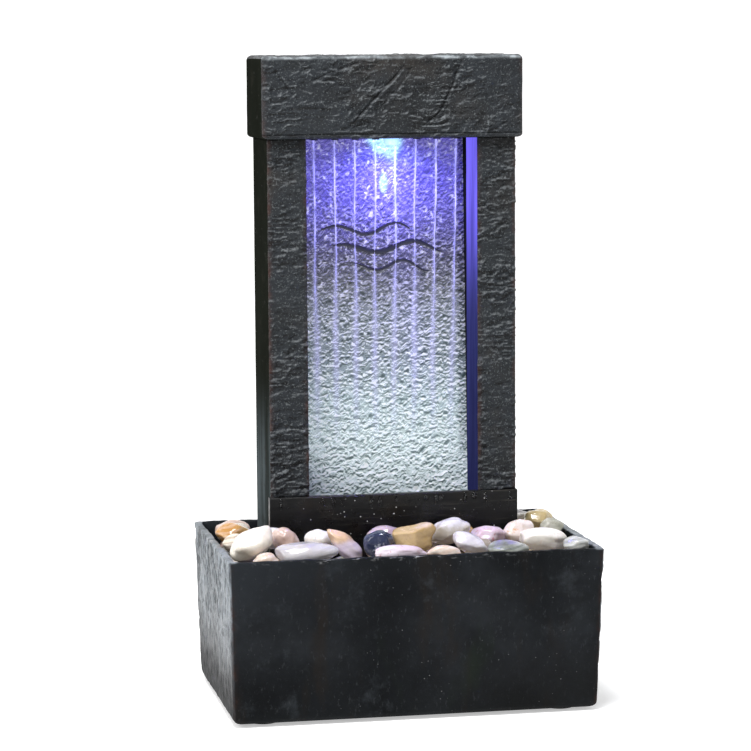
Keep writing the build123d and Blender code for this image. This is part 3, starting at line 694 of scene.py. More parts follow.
VINYL = make_vinyl()
PANEL = make_panel_glass()
WATER = make_water()
DROPS = make_drops()
INK = make_ink()
LENS = make_lamp("lamp_lens_clear", (0.30, 0.62, 1.0), 0.7)
EMITTER = make_lamp("lamp_glow", (0.25, 0.5, 1.0), 12.0)


# ---- carried-over CAD nodes

NODE_MATERIALS = [
    (BLACK, "rear_cover header elbow spray_bar bar_plug bar_clips lamp_housing lamp_plug lamp_socket "
            "pebble_tray"),
    (RUBBER, "basin_feet lamp_lead pump_seal pump_bushings cord_gland"),
    (PUMP, "pump_body pump_volute intake_cover"), (WET, "apron sill"), (MILKY, "panel_pads suction_cups"),
    (STEEL, "case_screws"), (BRASS, "lamp_pins"), (VINYL, "hose"), (BOARD, "lamp_board"),
    (EMITTER, "lamp_emitter"), (LENS, "lamp_lens"), (COIL, "pump_stator"), (CERAMIC, "pump_shaft"),
    (ROTOR, "pump_impeller"), (GREY, "flow_regulator"), (SPONGE, "filter_sponge")]
for material, names in NODE_MATERIALS:
    for name in names.split():
        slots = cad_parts[name].data.materials
        slots.clear()
        slots.append(material)

for name, width in (("apron", 0.35), ("sill", 0.2), ("rear_cover", 0.3), ("header", 0.3), ("pebble_tray", 0.25)):
    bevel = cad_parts[name].modifiers.new("soft_edges", "BEVEL")
    bevel.width = width * MM
    bevel.segments = 2
    bevel.limit_method = "ANGLE"
    bevel.angle_limit = math.radians(40)


# ---- basin

def basin_size(z):
    """Half the basin's width and depth at a height."""
    t = (z - FOOT_Z) / (RIM_Z - FOOT_Z)
    return [(a + (b - a) * t) / 2 for a, b in zip(BASIN_FOOT, BASIN_TOP)]


def make_basin():
    """Tapered trough with a handmade rim, pitted sides and a notch for the cord."""
    wall, foot_r, rim_r = 3.1, 2.8, 0.7
    notch_x, notch_r, notch_z = -40, 4.5, 62.5

    def loop_at(z, inset):
        hx, hy = basin_size(z)
        r = max(2.0 - inset * 0.3, 0.8)
        return ring(outline(hx - inset, hy - inset, r, along=190, across=130, corner=6), z)

    sole, floor = loop_at(FOOT_Z, foot_r), loop_at(4.4, wall + 0.6)
    rings = between(spine(sole), sole, 7, ends=True)
    rings += [loop_at(FOOT_Z + foot_r * (1 - c), foot_r * (1 - s)) for s, c in quarter(6)]
    rings += [loop_at(z, 0) for z in steps(FOOT_Z + foot_r, RIM_Z - rim_r, 83)]
    rings += [loop_at(RIM_Z - rim_r + rim_r * s, rim_r * (1 - c)) for s, c in quarter(3)]
    over = ((0, 1.2), (0, 1.9), (0, wall - 0.5), (0.2, wall - 0.15), (0.6, wall))
    rings += [loop_at(RIM_Z - drop, inset) for drop, inset in over]
    rings += [loop_at(z, wall) for z in steps(RIM_Z - 0.6, 5.0, 30)]
    rings += between(floor, spine(floor), 8, ends=True)
    ob = ring_object("basin_shell", rings, "base", BASIN_STONE)

    co, no = coords(ob)
    hx, hy = basin_size(np.clip(co[:, 2], FOOT_Z, RIM_Z))

    def gaps():
        """How far in each point is from the side faces, and from the front and back."""
        return hx - np.abs(co[:, 0]), hy - np.abs(co[:, 1])

    gx, gy = gaps()
    outer = (gx < 2.6) | (gy < 2.6)
    side = smooth(np.abs(no[:, 0]), 0.55, 0.8) * outer
    z = co[:, 2]
    pits_field = fbm(co, (1.5, 1.3, 2.6), 3, 21) + 0.25 * fbm(co, (6, 6, 9), 2, 23)
    more = smooth(z, 14, 56)
    pits = smooth(-pits_field, 0.12 - 0.08 * more, 0.34) * side * (0.35 + 0.65 * more)
    body = outer & (z > 3.2)
    push = fbm(co, 16, 3, 3) * 0.22 * body + side * (fbm(co, (3.2, 3.2, 4.5), 3, 8) * 0.24 - pits * 0.50)
    push += (1 - side) * body * fbm(co, 1.7, 3, 30) * 0.035
    rim = smooth(z, RIM_Z - 2.5, RIM_Z - 0.2)
    co = co + no * (push * (1 - 0.55 * rim))[:, None]
    flat = co * (1, 1, 0)
    ripple = fbm(flat, 2.6, 2, 44)
    co[:, 2] += rim * (fbm(flat, 11, 3, 40) * 0.40 + ripple * 0.14 - 0.16)
    gx, gy = gaps()
    inner_edge = rim * smooth(np.minimum(gx, gy), 1.6, 2.9)
    toward = np.column_stack([np.sign(co[:, 0]) * (gx < gy), np.sign(co[:, 1]) * (gx >= gy)])
    co[:, :2] += toward * (inner_edge * (0.25 * noise(co, 6, 50) + 0.18 * ripple))[:, None]
    dx = np.abs(co[:, 0] - notch_x)
    arch = notch_z - np.sqrt(np.clip(notch_r ** 2 - dx ** 2, 0, None))
    co[:, 2] = np.minimum(co[:, 2], np.where((dx < notch_r) & (co[:, 1] > 43), arch, np.inf))
    set_coords(ob, co)

    gx, gy = gaps()
    edge = arris(gx, gy, 2.2) * outer
    # the rim tops beside the sides take the sides' grey painted sheen too
    rim_top = smooth(no[:, 2], 0.4, 0.8) * (gx < 3.4) * (z > RIM_Z - 1.5)
    side = np.maximum(side, rim_top * 0.9)
    set_attributes(ob, side=side, pit=pits, edge=np.clip(edge, 0, 1))
    ob.data.materials.append(BASIN_SIDE)
    paint_faces(ob, side > 0.5)
    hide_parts("basin")


make_basin()


# ---- cap

# Creases pressed into the cap's front, as (x, z) lines, each with its depth and width
CREASES = [
    ([(5.5, 257.5), (4.1, 254.8), (-3.4, 246.7), (-10.1, 239.4), (-19.1, 229.8)], 0.42, 0.75),
    ([(9.0, 256.5), (6.0, 252.0), (0.5, 245.0), (-7.0, 237.0)], 0.22, 0.55),
    ([(28.5, 257.8), (27.3, 255.5), (22.8, 244.5), (19.1, 237.2), (10.9, 230.5)], 0.34, 0.62),
    ([(-12.3, 257.3), (-15.3, 256.3), (-25.8, 252.6), (-35.6, 248.2)], 0.26, 0.8),
    ([(-47.8, 255.0), (-46.8, 253.4), (-41.6, 246.0)], 0.26, 0.7),
    ([(17.1, 249.1), (16.1, 248.9), (5.6, 246.3)], 0.16, 0.5),
    ([(43.8, 257.0), (43.2, 251.0), (41.5, 245.2)], 0.16, 0.6),
    ([(47.5, 233.5), (40.8, 229.2)], 0.24, 0.6),
    ([(43.0, 232.7), (36.3, 229.2)], 0.20, 0.55),
    ([(-10.0, 233.0), (-19.0, 230.5), (-27.0, 229.6)], 0.18, 0.7),
    ([(-14.0, 246.5), (-19.0, 244.6), (-20.5, 242.0)], 0.20, 0.6),
    ([(-48.0, 238.0), (-36.0, 240.5), (-24.0, 238.0)], 0.16, 1.1),
    ([(30.0, 240.0), (36.0, 246.0), (38.0, 250.0)], 0.12, 0.6),
]


def relief_of(p, seed, stretch):
    """Riven slate: swells, wrinkles and a fine grain."""
    sx, sz = stretch
    warped = p + fbm(p, 6, 2, seed + 5)[:, None] * 1.6
    plates = ridged(warped, (7 * sx, 7, 7 * sz), 2, seed) - 0.5
    wrinkles = ridged(warped, (3.4 * sx, 3.4, 2.3 * sz), 3, seed + 9) - 0.5
    patches = 0.35 + 0.65 * smooth(fbm(p, 12, 2, seed + 21), -0.35, 0.35)
    return plates * 0.6 + wrinkles * 1.5 * patches + fbm(p, 0.85, 2, seed + 13) * 0.12


def slate_fields(p, seed, stretch):
    """The relief, with a spread of 1, and how far each place leans up to the light."""
    up = np.array([-0.10, 0, 0.24])
    lit = relief_of(p - up, seed, stretch) - relief_of(p + up, seed, stretch)
    return even(relief_of(p, seed, stretch)), even(lit)


def make_cap():
    """Lift-off cap: riven front and top edge, smooth sides, hollow below, a groove above its lip."""
    half_x, half_y, mid_y = 53.25, 20.3, 14.3
    roof, brow_z = TOP_Z - 2.8, TOP_Z - 2.2

    def loop(hx, hy, r, z, cy):
        return ring(outline(hx, hy, r, along=250, across=84, corner=7, cy=cy), z)

    def loop_at(z, inset):
        return loop(half_x - inset, half_y - inset, max(2.4 - inset * 0.6, 0.5), z, mid_y)

    ceiling, mouth = (loop(50.6, 17.3, 0.8, z, 14.7) for z in (roof, CAP_Z))
    rings = between(spine(ceiling, 14.7), ceiling, 5, ends=True) + between(ceiling, mouth, 12) + [mouth]
    lip_rings = [(0, 1.7), (0.16, 1.05), (0.45, 0.55), (0.9, 0.15)]
    lip_rings += [(up, 0) for up in (1.25, 1.45, 1.6, 1.75, 1.9, 2.05, 2.2, 2.4, 2.6)]
    rings += [loop_at(CAP_Z + up, inset) for up, inset in lip_rings]
    rings += [loop_at(z, 0) for z in steps(CAP_Z + 2.6, brow_z, 72)]
    rings += [loop_at(brow_z + 2.05 * s, 2.2 * (1 - c)) for s, c in quarter(6)]
    rings += between(rings[-1], spine(rings[-1], mid_y), 44, ends=True)[1:]
    ob = ring_object("cap_shell", rings, "cap", SLATE)

    co, no = coords(ob)
    z = co[:, 2]
    above = z > roof + 1
    outer = (np.abs(co[:, 0]) > 50.9) | (co[:, 1] < -2.9) | (co[:, 1] > 32.3) | above
    front = smooth(-no[:, 1], 0.35, 0.75) * outer
    top_face = smooth(no[:, 2], 0.35, 0.8) * outer * above
    riven = np.clip(front + top_face, 0, 1)
    field, lit = slate_fields(co, 100, (1.5, 0.85))
    crease = np.zeros(len(co))
    wobbly = co[:, 0] + noise(co, 4, 160) * 0.35
    for points, depth, width in CREASES:
        d, t = line_distance(wobbly, z, points)
        fade = np.minimum(1, np.minimum(t, 1 - t) * 6 + 0.05)
        ridge, dip = hump(d - width * 0.75, width * 0.7), hump(d + width * 0.45, width * 0.6)
        crease += (0.9 * ridge - dip) * depth * fade
    wave = fbm(co, 14, 2, 120)
    lip = smooth(z, CAP_Z + 2.3, CAP_Z + 3.4)
    groove = hump(z - CAP_Z - 1.9 - wave * 0.3, 0.26)
    push = front * (field * 0.17 * lip + crease * 1.5 * lip + wave * 0.25 - groove * 0.45)
    push += top_face * (field * 0.13 + wave * 0.22)
    push += outer * (1 - riven) * (fbm(co, 9, 3, 130) * 0.08 + wave * 0.08)
    co = co + no * push[:, None]
    brow = smooth(z, TOP_Z - 3.0, TOP_Z - 0.5) * outer
    co[:, 2] += brow * (fbm(co * (1, 0.4, 0), 9, 3, 140) * 0.42 - 0.12)
    co[:, 2] = np.minimum(co[:, 2], TOP_Z + 0.3)
    set_coords(ob, co)

    # a painted highlight along the top front edge, partly wear
    worn = hump(z - (TOP_Z - 0.95), 0.55) * smooth(-no[:, 1], 0.05, 0.5) * outer
    chip = smooth(fbm(co, 3.5, 3, 150), -0.25, 0.3)
    # colour of the relief: painted light and shade by how each place leans to the light, painted light and shade
    # on the creases, painted shade in the groove
    height = 0.5 + (0.07 * field + 0.21 * lit) * riven + crease * 0.95 * front - groove * front * 0.4
    edge = arris(half_x - np.abs(co[:, 0]), half_y - np.abs(co[:, 1] - mid_y), 2.0) * outer
    edge = edge * smooth(-no[:, 1], -0.2, 0.3)
    set_attributes(ob, relief=np.clip(height, 0, 1), worn=worn * (0.3 + 0.7 * chip), edge=edge)
    ob.data.materials.append(SMOOTH)
    ob.data.materials.append(BACK_PAINT)
    paint_faces(ob, (front + top_face) < 0.5)
    paint_faces(ob, (no[:, 1] > 0.6) & outer, 2)
    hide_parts("cap")


make_cap()


# ---- stiles

def make_stile(side):
    """Hollow post: riven front, smooth sides, its front set back behind the apron."""
    cx = side * (WINDOW_W + TOWER_W) / 4
    hx, cy, hy = (TOWER_W - WINDOW_W) / 4, (FRONT + BACK) / 2, (BACK - FRONT) / 2
    foot, step = 4.4, 0.01

    def loop_at(z, inset_x, inset_y, r, shift, front):
        """A ring of the post. Behind the apron it stays back of front."""
        xy = outline(hx - inset_x, hy - inset_y, r, along=36, across=76, corner=4, cy=cy + shift)
        out = ring(xy, z)
        if z < APRON_Z:
            out[:, 1] = np.maximum(out[:, 1], front)
        return out

    rows = [foot, *steps(foot, APRON_Z, 60)[:-1], APRON_Z - step, APRON_Z + step]
    rows += steps(APRON_Z + step, CAP_Z, 230)
    rings = [loop_at(z, 0, 0, 0.7, 0, 0.0) for z in rows]
    rings += [loop_at(z, 2.4, 3.6, 0.4, 1.2, 2.6)
              for z in (CAP_Z, CAP_Z - 1, 170, 120, APRON_Z + step, APRON_Z - step, 60, 30, foot)]
    ob = ring_object("stile_post_" + ("left" if side < 0 else "right"), rings, "tower", SLATE, loop=True)

    co, no = coords(ob)
    co[:, 0] += cx
    inner = (np.abs(co[:, 0] - cx) < hx - 2.0) & (co[:, 1] < BACK - 2.0)
    inner &= (co[:, 1] > 0.8) | (co[:, 2] < APRON_Z)
    front = smooth(-no[:, 1], 0.3, 0.7) * ~inner * (co[:, 2] > APRON_Z)
    field, lit = slate_fields(co + (side * 40.0, 0, 0), 200 + (side > 0) * 50, (1.7, 0.72))
    arcs = np.zeros(len(co))
    rng = np.random.default_rng(7 + side)
    for k in range(16):
        za = APRON_Z + 8 + 134 * (k + rng.uniform(0.1, 0.9)) / 16
        xa = cx + rng.uniform(-6, 2)
        length = rng.uniform(4, 9)
        rise = rng.uniform(-2.5, 2.5)
        bend = [(xa, za), (xa + length / 2, za + rise * 0.2), (xa + length, za + rise)]
        d, t = line_distance(co[:, 0], co[:, 2], bend)
        fade = np.clip(np.minimum(t, 1 - t) * 5, 0, 1)
        arcs += (hump(d - 0.3, 0.35) - 0.8 * hump(d + 0.3, 0.35)) * fade * 0.22
    push = front * (field * 0.22 + arcs * 1.6 + fbm(co, (10, 10, 14), 2, 210) * 0.12)
    near_top = smooth(co[:, 2], CAP_Z - 2.0, CAP_Z - 0.5)
    push *= 1 - 0.8 * near_top
    push += ~inner * (1 - front) * fbm(co, (7, 7, 12), 3, 220) * 0.05 * (1 - near_top)
    co = co + no * push[:, None]
    set_coords(ob, co)

    near = arris(hx - np.abs(co[:, 0] - cx), np.abs(co[:, 1] - FRONT), 1.6)
    ragged = 1 + 0.5 * fbm(co, (2, 2, 3), 2, 230)
    # painted shadow of the cap across the top of the post; the relief colour also holds painted light and shade by
    # how each place leans to the light and on the arcs
    painted_shadow_under_cap = 0.42 * smooth(co[:, 2], CAP_Z - 4.6, CAP_Z - 3.0)
    set_attributes(ob, relief=np.clip(0.5 + (0.06 * field + 0.30 * lit + arcs * 1.8 - painted_shadow_under_cap) * front, 0, 1),
                   edge=np.clip(near * ragged * ~inner, 0, 1))
    for material in (SMOOTH, JAMB, BACK_PAINT):
        ob.data.materials.append(material)
    paint_faces(ob, front < 0.5)
    paint_faces(ob, (no[:, 1] > 0.6) & ~inner, 3)
    jamb = (side * (co[:, 0] - cx) < -hx + 0.6) & (co[:, 1] < PANEL_Y + 0.5) & (co[:, 2] > APRON_Z - 4)
    paint_faces(ob, jamb & (front < 0.5), 2)
    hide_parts("stile_left" if side < 0 else "stile_right")


for side in (-1, 1):
    make_stile(side)


# ---- panel

def panel_point(x, along, out):
    """From a place on the leaning panel to the frame: out is towards the front."""
    y = PANEL_Y - out * math.cos(LEAN) + along * math.sin(LEAN)
    z = APRON_Z + out * math.sin(LEAN) + along * math.cos(LEAN)
    return np.column_stack([x, y, z])


def stream_x(i, along):
    """Where the i-th stream of water runs at a place along the panel."""
    t = np.clip(1 - along / 141.9, 0, 1)
    start = -27.3 + 8.5 * i
    drift = (-27.5 + 8.13 * i) - start
    wander = 0.16 * np.sin(along * 0.13 + i * 1.7) + 0.20 * np.sin(along * 0.051 + i * 2.3)
    wander += 0.05 * np.sin(along * 0.6 + i)
    return start + drift * t * 1.6 + wander * np.minimum(1, t * 6)


def make_panel():
    """Hammered clear sheet with water running over its front."""
    half_w, bottom, top = 35.75, -5.0, 143.2
    nx, nz = 264, 548
    gx, gz = np.meshgrid(np.linspace(-half_w, half_w, nx + 1), np.linspace(bottom, top, nz + 1))
    x, z = gx.ravel(), gz.ravel()
    p = np.column_stack([x, z * 0, z])
    warp = fbm(p, (2.6, 6, 2.6), 2, 300)[:, None] * (0.9, 0, 1.1)
    up = np.array([0, 0, 0.20])
    high = smooth(z, 62, 112)

    def hammer(q):
        low = fbm(q, (1.15, 2, 0.85), 2, 310) + 0.30 * noise(q, (4, 5, 3.4), 311)
        return low * (1 - high) + fbm(q, (0.95, 2, 0.95), 2, 330) * high

    surface = even(hammer(p + warp))
    # ripple: painted light and shade of the hammering, lighter on one side of each ripple and darker on the other
    ripple = np.clip(0.5 - 0.21 * even(hammer(p + warp + up) - hammer(p + warp - up)), 0, 1)
    thread = np.abs(noise(p + warp * 1.5, (1.3, 2, 1.6), 350))
    # curl: painted white glints
    curl = smooth(-thread, -0.22, -0.05) * smooth(noise(p, (1.2, 2, 1.2), 360), 0.10, 0.40)
    inside = smooth(np.minimum(half_w - np.abs(x), np.minimum(z - bottom, top - z)), 0.2, 1.6)
    width = 0.50 + 0.70 * smooth(-z, -105, -55)
    runs = sum(hump(x - stream_x(i, z), width) for i in range(STREAMS)) * smooth(z, 8, 62)
    depth = np.clip((surface * 0.085 + runs * 0.16) * inside, -0.4, 0.4)

    # painted light of the lamp: a spot by it, a smaller one below, a fan, a slanting beam, a wash, and the runs
    down = 142 - z
    spot = 0.95 * hump(np.hypot((x - 1.4) / 8.5, (z - 143.0) / 6.5), 1)
    blob = 0.85 * hump(np.hypot((x - 1.2) / 1.8, (z - 124.5) / 4.6), 1)
    fan = hump(x - 3.5 - down * 0.05, 7 + down * 0.03) * smooth(z, 30, 150) * 0.20
    beam = hump(x - 10 + (z - 95) * 0.10, 5.5) * smooth(z, 22, 70) * 0.27
    glow = np.maximum(spot, blob) + fan + beam + smooth(z, 85, 135) * 0.12 + runs * (0.10 + 0.12 * high)
    glow = np.clip(glow, 0, 1)

    verts = np.concatenate([panel_point(x, z, depth), panel_point(x, z, -PANEL_T + 0.1 * (1 - inside))])
    faces = []
    n, w = len(x), nx + 1
    for a in (j * w + i for j in range(nz) for i in range(nx)):
        faces.append((a, a + 1, a + w + 1, a + w))
        faces.append((n + a, n + a + w, n + a + w + 1, n + a + 1))
    rim = [i for i in range(nx)] + [j * w + nx for j in range(nz)]
    rim += [nz * w + i for i in range(nx, 0, -1)] + [j * w for j in range(nz, 0, -1)]
    faces += [(b, a, n + a, n + b) for a, b in zip(rim, rim[1:] + rim[:1])]
    ob = add_object("cascade_panel", verts, faces, "tower", PANEL)
    set_attributes(ob, ripple=np.tile(ripple, 2), curl=np.tile(curl, 2), run=np.tile(np.clip(runs, 0, 1), 2),
                   glow=np.concatenate([glow, glow * 0.8]))
    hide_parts("panel")


make_panel()


# ---- printed waves

def skin(count, around, base):
    """Faces over count rings of around points each, numbered from base and closed at both ends."""
    faces = []
    for i in range(count - 1):
        for j in range(around):
            a, b = base + i * around + j, base + i * around + (j + 1) % around
            faces.append((a, b, b + around, a + around))
    faces.append(tuple(base + j for j in reversed(range(around))))
    faces.append(tuple(base + (count - 1) * around + j for j in range(around)))
    return faces


# Each wave: where it starts and ends across the panel, how far up it lies, and its width
WAVES = [(-25, 12, 106, 1.5), (-20, 24.5, 98.5, 2.1), (-12, 20, 91, 1.3)]


def make_waves():
    """Three tapered wave lines printed on the panel, each a raised rounded stroke."""
    points, faces = [], []
    rows, around, swing = 151, 12, 2.6
    for k, (x0, x1, z0, width) in enumerate(WAVES):
        faces += skin(rows, around, len(points))
        for i in range(rows):
            t = i / (rows - 1)
            phase, grow = 3 * math.pi * t + 0.9 * k, 0.5 + 0.5 * t
            x = x0 + (x1 - x0) * t
            z = z0 + swing * math.sin(phase) * grow
            slope = swing * (3 * math.pi * math.cos(phase) * grow + 0.5 * math.sin(phase)) / (x1 - x0)
            length = math.hypot(1, slope)
            half = width / 2 * max(0.06, math.sin(math.pi * (t * 0.97 + 0.015)) ** 0.45)
            half *= 1 + 0.10 * math.sin(t * 40 + k) * math.sin(t * 17)
            for j in range(around):
                a = 2 * math.pi * j / around
                s = half * math.cos(a) / length
                points.append((x - slope * s, z + s, 0.19 + 0.17 * math.sin(a)))
    ob = add_object("wave_print", panel_point(*np.array(points).T), faces, "tower", INK)
    tidy_mesh(ob)
    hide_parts("panel_motif")


make_waves()


# ---- water

def tube(points, radii, around, flat):
    """The points of a tube along a line, each ring lying across it. flat is its height over its width."""
    verts = []
    last = len(points) - 1
    for i, (point, radius) in enumerate(zip(points, radii)):
        d = points[min(i + 1, last)] - points[max(i - 1, 0)]
        d /= np.linalg.norm(d)
        a = np.cross(d, (0, 1, 0))
        a /= np.linalg.norm(a)
        b = np.cross(d, a)
        for j in range(around):
            t = 2 * math.pi * j / around
            verts.append(point + a * math.cos(t) * radius + b * math.sin(t) * radius * flat)
    return verts


def make_streams():
    """Eight threads of water from the spray bar down the front of the panel."""
    verts, faces = [], []
    rng = np.random.default_rng(11)
    start, count, around = 143.0, 170, 10
    for i in range(STREAMS):
        end = rng.uniform(60, 78)
        along = np.linspace(start, end, count)
        t = (start - along) / (start - end)
        beads = 0.09 * np.sin(along * 0.9 + i) * np.sin(along * 0.37 + 2 * i) + 0.04 * np.sin(along * 2.3)
        radius = np.clip(0.33 + beads, 0.18, 0.5) * (1 - 0.55 * t)
        radius[-1] = 0.04
        faces += skin(count, around, len(verts))
        verts += tube(panel_point(stream_x(i, along), along, np.full(count, 0.22)), radius, around, 0.7)
    ob = add_object("water_streams", verts, faces, "tower", WATER)
    tidy_mesh(ob)


make_streams()


def make_apron_drops():
    """Beads and short runs of water hanging on the apron."""
    rng = np.random.default_rng(5)
    bm = bmesh.new()

    def bead(x, y, z, r, tall, thick):
        """A drop, wider below than above."""
        for v in bmesh.ops.create_icosphere(bm, subdivisions=3, radius=1.0)["verts"]:
            wide = 0.72 + 0.21 * (1 - v.co.z)
            v.co = Vector((x + v.co.x * r * wide, y + v.co.y * thick, z + v.co.z * tall)) * MM

    for i in range(24):
        x = rng.uniform(-48, 48)
        tall = rng.uniform(0.9, 2.6)
        bead(x, -3.1, APRON_Z - 0.3 - tall, rng.uniform(0.5, 1.1), tall, 0.55)
    for i in range(170):
        x, z = rng.uniform(-50, 50), rng.uniform(50, 81)
        r = rng.uniform(0.10, 0.30)
        bead(x, -3.2, z, r, r * rng.uniform(1.0, 1.8), r * 0.5)
    ob = from_bmesh("apron_drops", bm, DROPS)
    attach(ob, "tower")


make_apron_drops()


# ---- pebbles

# Each look: main, second and third colour, size of its pattern, and what the pattern has
LOOKS = {
    "amber_orange": ((0.52, 0.27, 0.085), (0.68, 0.44, 0.20), (0.78, 0.60, 0.50), 90, dict(bands=0.35, clear=0.1)),
    "amber_gold": ((0.50, 0.34, 0.14), (0.62, 0.45, 0.24), (0.30, 0.17, 0.07), 120,
                   dict(spots=0.4, veins=0.3, top=((0.80, 0.64, 0.60), 74.2))),
    "amber_tan": ((0.60, 0.47, 0.24), (0.74, 0.63, 0.40), (0.42, 0.30, 0.14), 80, dict(spots=0.3, clear=0.1)),
    "amber_small": ((0.56, 0.36, 0.12), (0.68, 0.48, 0.22), (0.34, 0.18, 0.06), 110, dict(veins=0.4)),
    "white_milk": ((0.78, 0.75, 0.72), (0.88, 0.86, 0.86), (0.66, 0.55, 0.46), 70, dict(veins=0.3, clear=0.1)),
    "white_cream": ((0.78, 0.72, 0.62), (0.87, 0.84, 0.79), (0.70, 0.50, 0.38), 60, dict(spots=0.25, clear=0.1)),
    "white_banded": ((0.70, 0.62, 0.50), (0.80, 0.75, 0.68), (0.42, 0.32, 0.24), 120, dict(bands=0.7)),
    "white_lilac": ((0.74, 0.71, 0.76), (0.86, 0.84, 0.88), (0.56, 0.48, 0.58), 80, dict(bands=0.25, clear=0.15)),
    "white_orange_spot": ((0.76, 0.66, 0.60), (0.83, 0.77, 0.74), (0.66, 0.34, 0.14), 40, dict(spots=0.8)),
    "rose_peach": ((0.74, 0.55, 0.43), (0.85, 0.72, 0.64), (0.90, 0.85, 0.80), 90, dict(bands=0.5, clear=0.1)),
    "rose_brown": ((0.50, 0.34, 0.29), (0.68, 0.53, 0.47), (0.32, 0.20, 0.17), 85, dict(veins=0.45)),
    "rose_lilac": ((0.56, 0.46, 0.55), (0.70, 0.62, 0.70), (0.40, 0.32, 0.44), 65,
                   dict(bands=0.3, clear=0.1, top=((0.70, 0.48, 0.28), 69.0))),
    "rose_speckled": ((0.68, 0.56, 0.66), (0.80, 0.72, 0.80), (0.46, 0.12, 0.16), 75, dict(spots=0.7)),
    "rose_purple": ((0.50, 0.38, 0.46), (0.66, 0.56, 0.63), (0.34, 0.24, 0.32), 70, dict(bands=0.35, clear=0.1)),
    "grey_lilac": ((0.52, 0.50, 0.53), (0.70, 0.68, 0.70), (0.36, 0.33, 0.40), 55,
                   dict(bands=0.25, veins=0.2, clear=0.2)),
    "grey_brown": ((0.40, 0.35, 0.29), (0.66, 0.62, 0.56), (0.24, 0.19, 0.14), 100,
                   dict(veins=0.45, spots=0.3, top=((0.82, 0.80, 0.87), 71.5))),
    "grey_clear": ((0.46, 0.47, 0.46), (0.64, 0.65, 0.62), (0.26, 0.27, 0.26), 110, dict(bands=0.6, clear=0.2)),
    "dark_blue_veined": ((0.012, 0.016, 0.034), (0.040, 0.050, 0.110), (0.66, 0.70, 0.82), 34,
                         dict(spots=0.85, rough=0.12)),
    # its violet top is a painted highlight
    "dark_green_grey": ((0.20, 0.22, 0.18), (0.46, 0.48, 0.45), (0.10, 0.11, 0.10), 100,
                        dict(bands=0.5, top=((0.26, 0.22, 0.55), 68.2))),
    "dark_olive": ((0.30, 0.30, 0.24), (0.48, 0.47, 0.41), (0.16, 0.16, 0.12), 90, dict(spots=0.4)),
}
STONE = {name: make_stone(name, *look, **pattern) for name, (*look, pattern) in LOOKS.items()}

# Each showing stone: x, y, z, three half sizes, turn, look, and a tilt if it has one
STONES = {
    "white": [
        (-66.8, -9.0, 67.4, 4.6, 4.6, 4.4, 0, "banded"),
        (-62.9, -31.1, 70.5, 9.2, 7.4, 6.6, 10, "cream", -24),
        (-52.9, -15.0, 70.0, 6.0, 5.0, 4.8, 0, "milk", 10),
        (-34.2, -20.0, 68.8, 5.6, 5.0, 5.4, 0, "milk"),
        (25.2, -33.7, 67.5, 8.0, 6.0, 4.6, 10, "lilac", 22),
        (49.0, -13.7, 69.0, 6.8, 5.8, 5.6, 20, "orange_spot", -20),
        (57.6, -24.3, 66.4, 10.4, 7.2, 5.6, 0, "cream", 6),
        (61.5, 28.0, 65.0, 7.4, 6.2, 4.8, -20, "banded"),
        (11.0, 41.0, 64.4, 7.4, 4.4, 4.2, 0, "cream"),
        (12.1, -9.6, 64.4, 4.4, 4.0, 4.4, 0, "lilac")],
    "amber": [
        (-64.3, 10.0, 68.2, 7.0, 5.5, 5.0, 20, "orange"),
        (3.3, -25.9, 69.1, 8.8, 6.6, 6.4, 10, "gold", -8),
        (27.7, -9.0, 67.8, 4.2, 3.8, 4.4, 0, "small"),
        (63.5, 11.0, 68.4, 6.0, 5.6, 5.2, 35, "tan"),
        (-24.0, 41.0, 64.4, 7.8, 4.6, 4.2, 5, "orange"),
        (-45.2, -28.8, 64.6, 5.6, 5.0, 4.6, 0, "tan"),
        (-44.6, -12.0, 64.4, 4.4, 4.4, 4.4, 0, "gold")],
    "rose": [
        (-58.6, -41.1, 65.3, 5.2, 4.2, 4.0, 0, "peach"),
        (-47.7, -20.6, 69.6, 6.0, 4.8, 5.2, 0, "brown", 40),
        (-25.8, -30.0, 68.6, 9.0, 5.2, 4.6, -15, "lilac", 38),
        (-5.0, -12.0, 68.4, 8.2, 5.2, 5.0, 0, "purple"),
        (-5.5, -42.0, 66.5, 10.2, 3.8, 4.0, 0, "speckled"),
        (11.8, -42.0, 65.8, 6.6, 3.8, 3.8, 0, "peach"),
        (35.7, -16.0, 67.3, 7.0, 5.6, 5.0, -8, "speckled"),
        (-60.0, 41.6, 64.6, 7.2, 4.8, 4.4, 0, "brown"),
        (44.0, 41.0, 64.4, 6.4, 4.6, 4.2, 0, "peach"),
        (61.0, -9.6, 64.6, 5.4, 5.0, 4.6, 0, "lilac")],
    "grey": [
        (-42.3, -39.2, 67.4, 12.2, 6.6, 5.2, 4, "lilac"),
        (19.6, -16.0, 70.0, 8.8, 6.2, 5.6, -10, "brown", -16),
        (66.2, -39.0, 66.3, 5.2, 5.4, 4.4, 0, "clear"),
        (-61.0, 29.4, 64.8, 6.8, 6.0, 4.6, 30, "brown"),
        (61.0, 41.6, 64.6, 7.0, 5.0, 4.4, 10, "lilac"),
        (-6.0, 41.0, 64.6, 7.0, 4.8, 4.4, 0, "clear"),
        (-63.0, -19.6, 64.8, 6.0, 5.2, 4.8, 0, "lilac"),
        (-31.0, -10.0, 64.8, 6.0, 4.6, 4.6, 0, "clear"),
        (30.7, -24.6, 64.4, 5.2, 4.4, 4.4, 0, "brown")],
    "dark": [
        (-11.4, -29.3, 68.2, 6.8, 6.2, 6.4, 15, "blue_veined"),
        (38.8, -38.3, 65.5, 8.0, 5.6, 4.6, 0, "green_grey"),
        (66.4, -1.2, 67.5, 5.0, 5.0, 4.2, 0, "olive"),
        (28.0, 41.0, 64.4, 6.6, 4.8, 4.2, 0, "green_grey")],
}
SETTLE = 1.0  # how much lower the showing stones lie than their places above
FLATTEN = 0.87  # and how much flatter they are than their half sizes
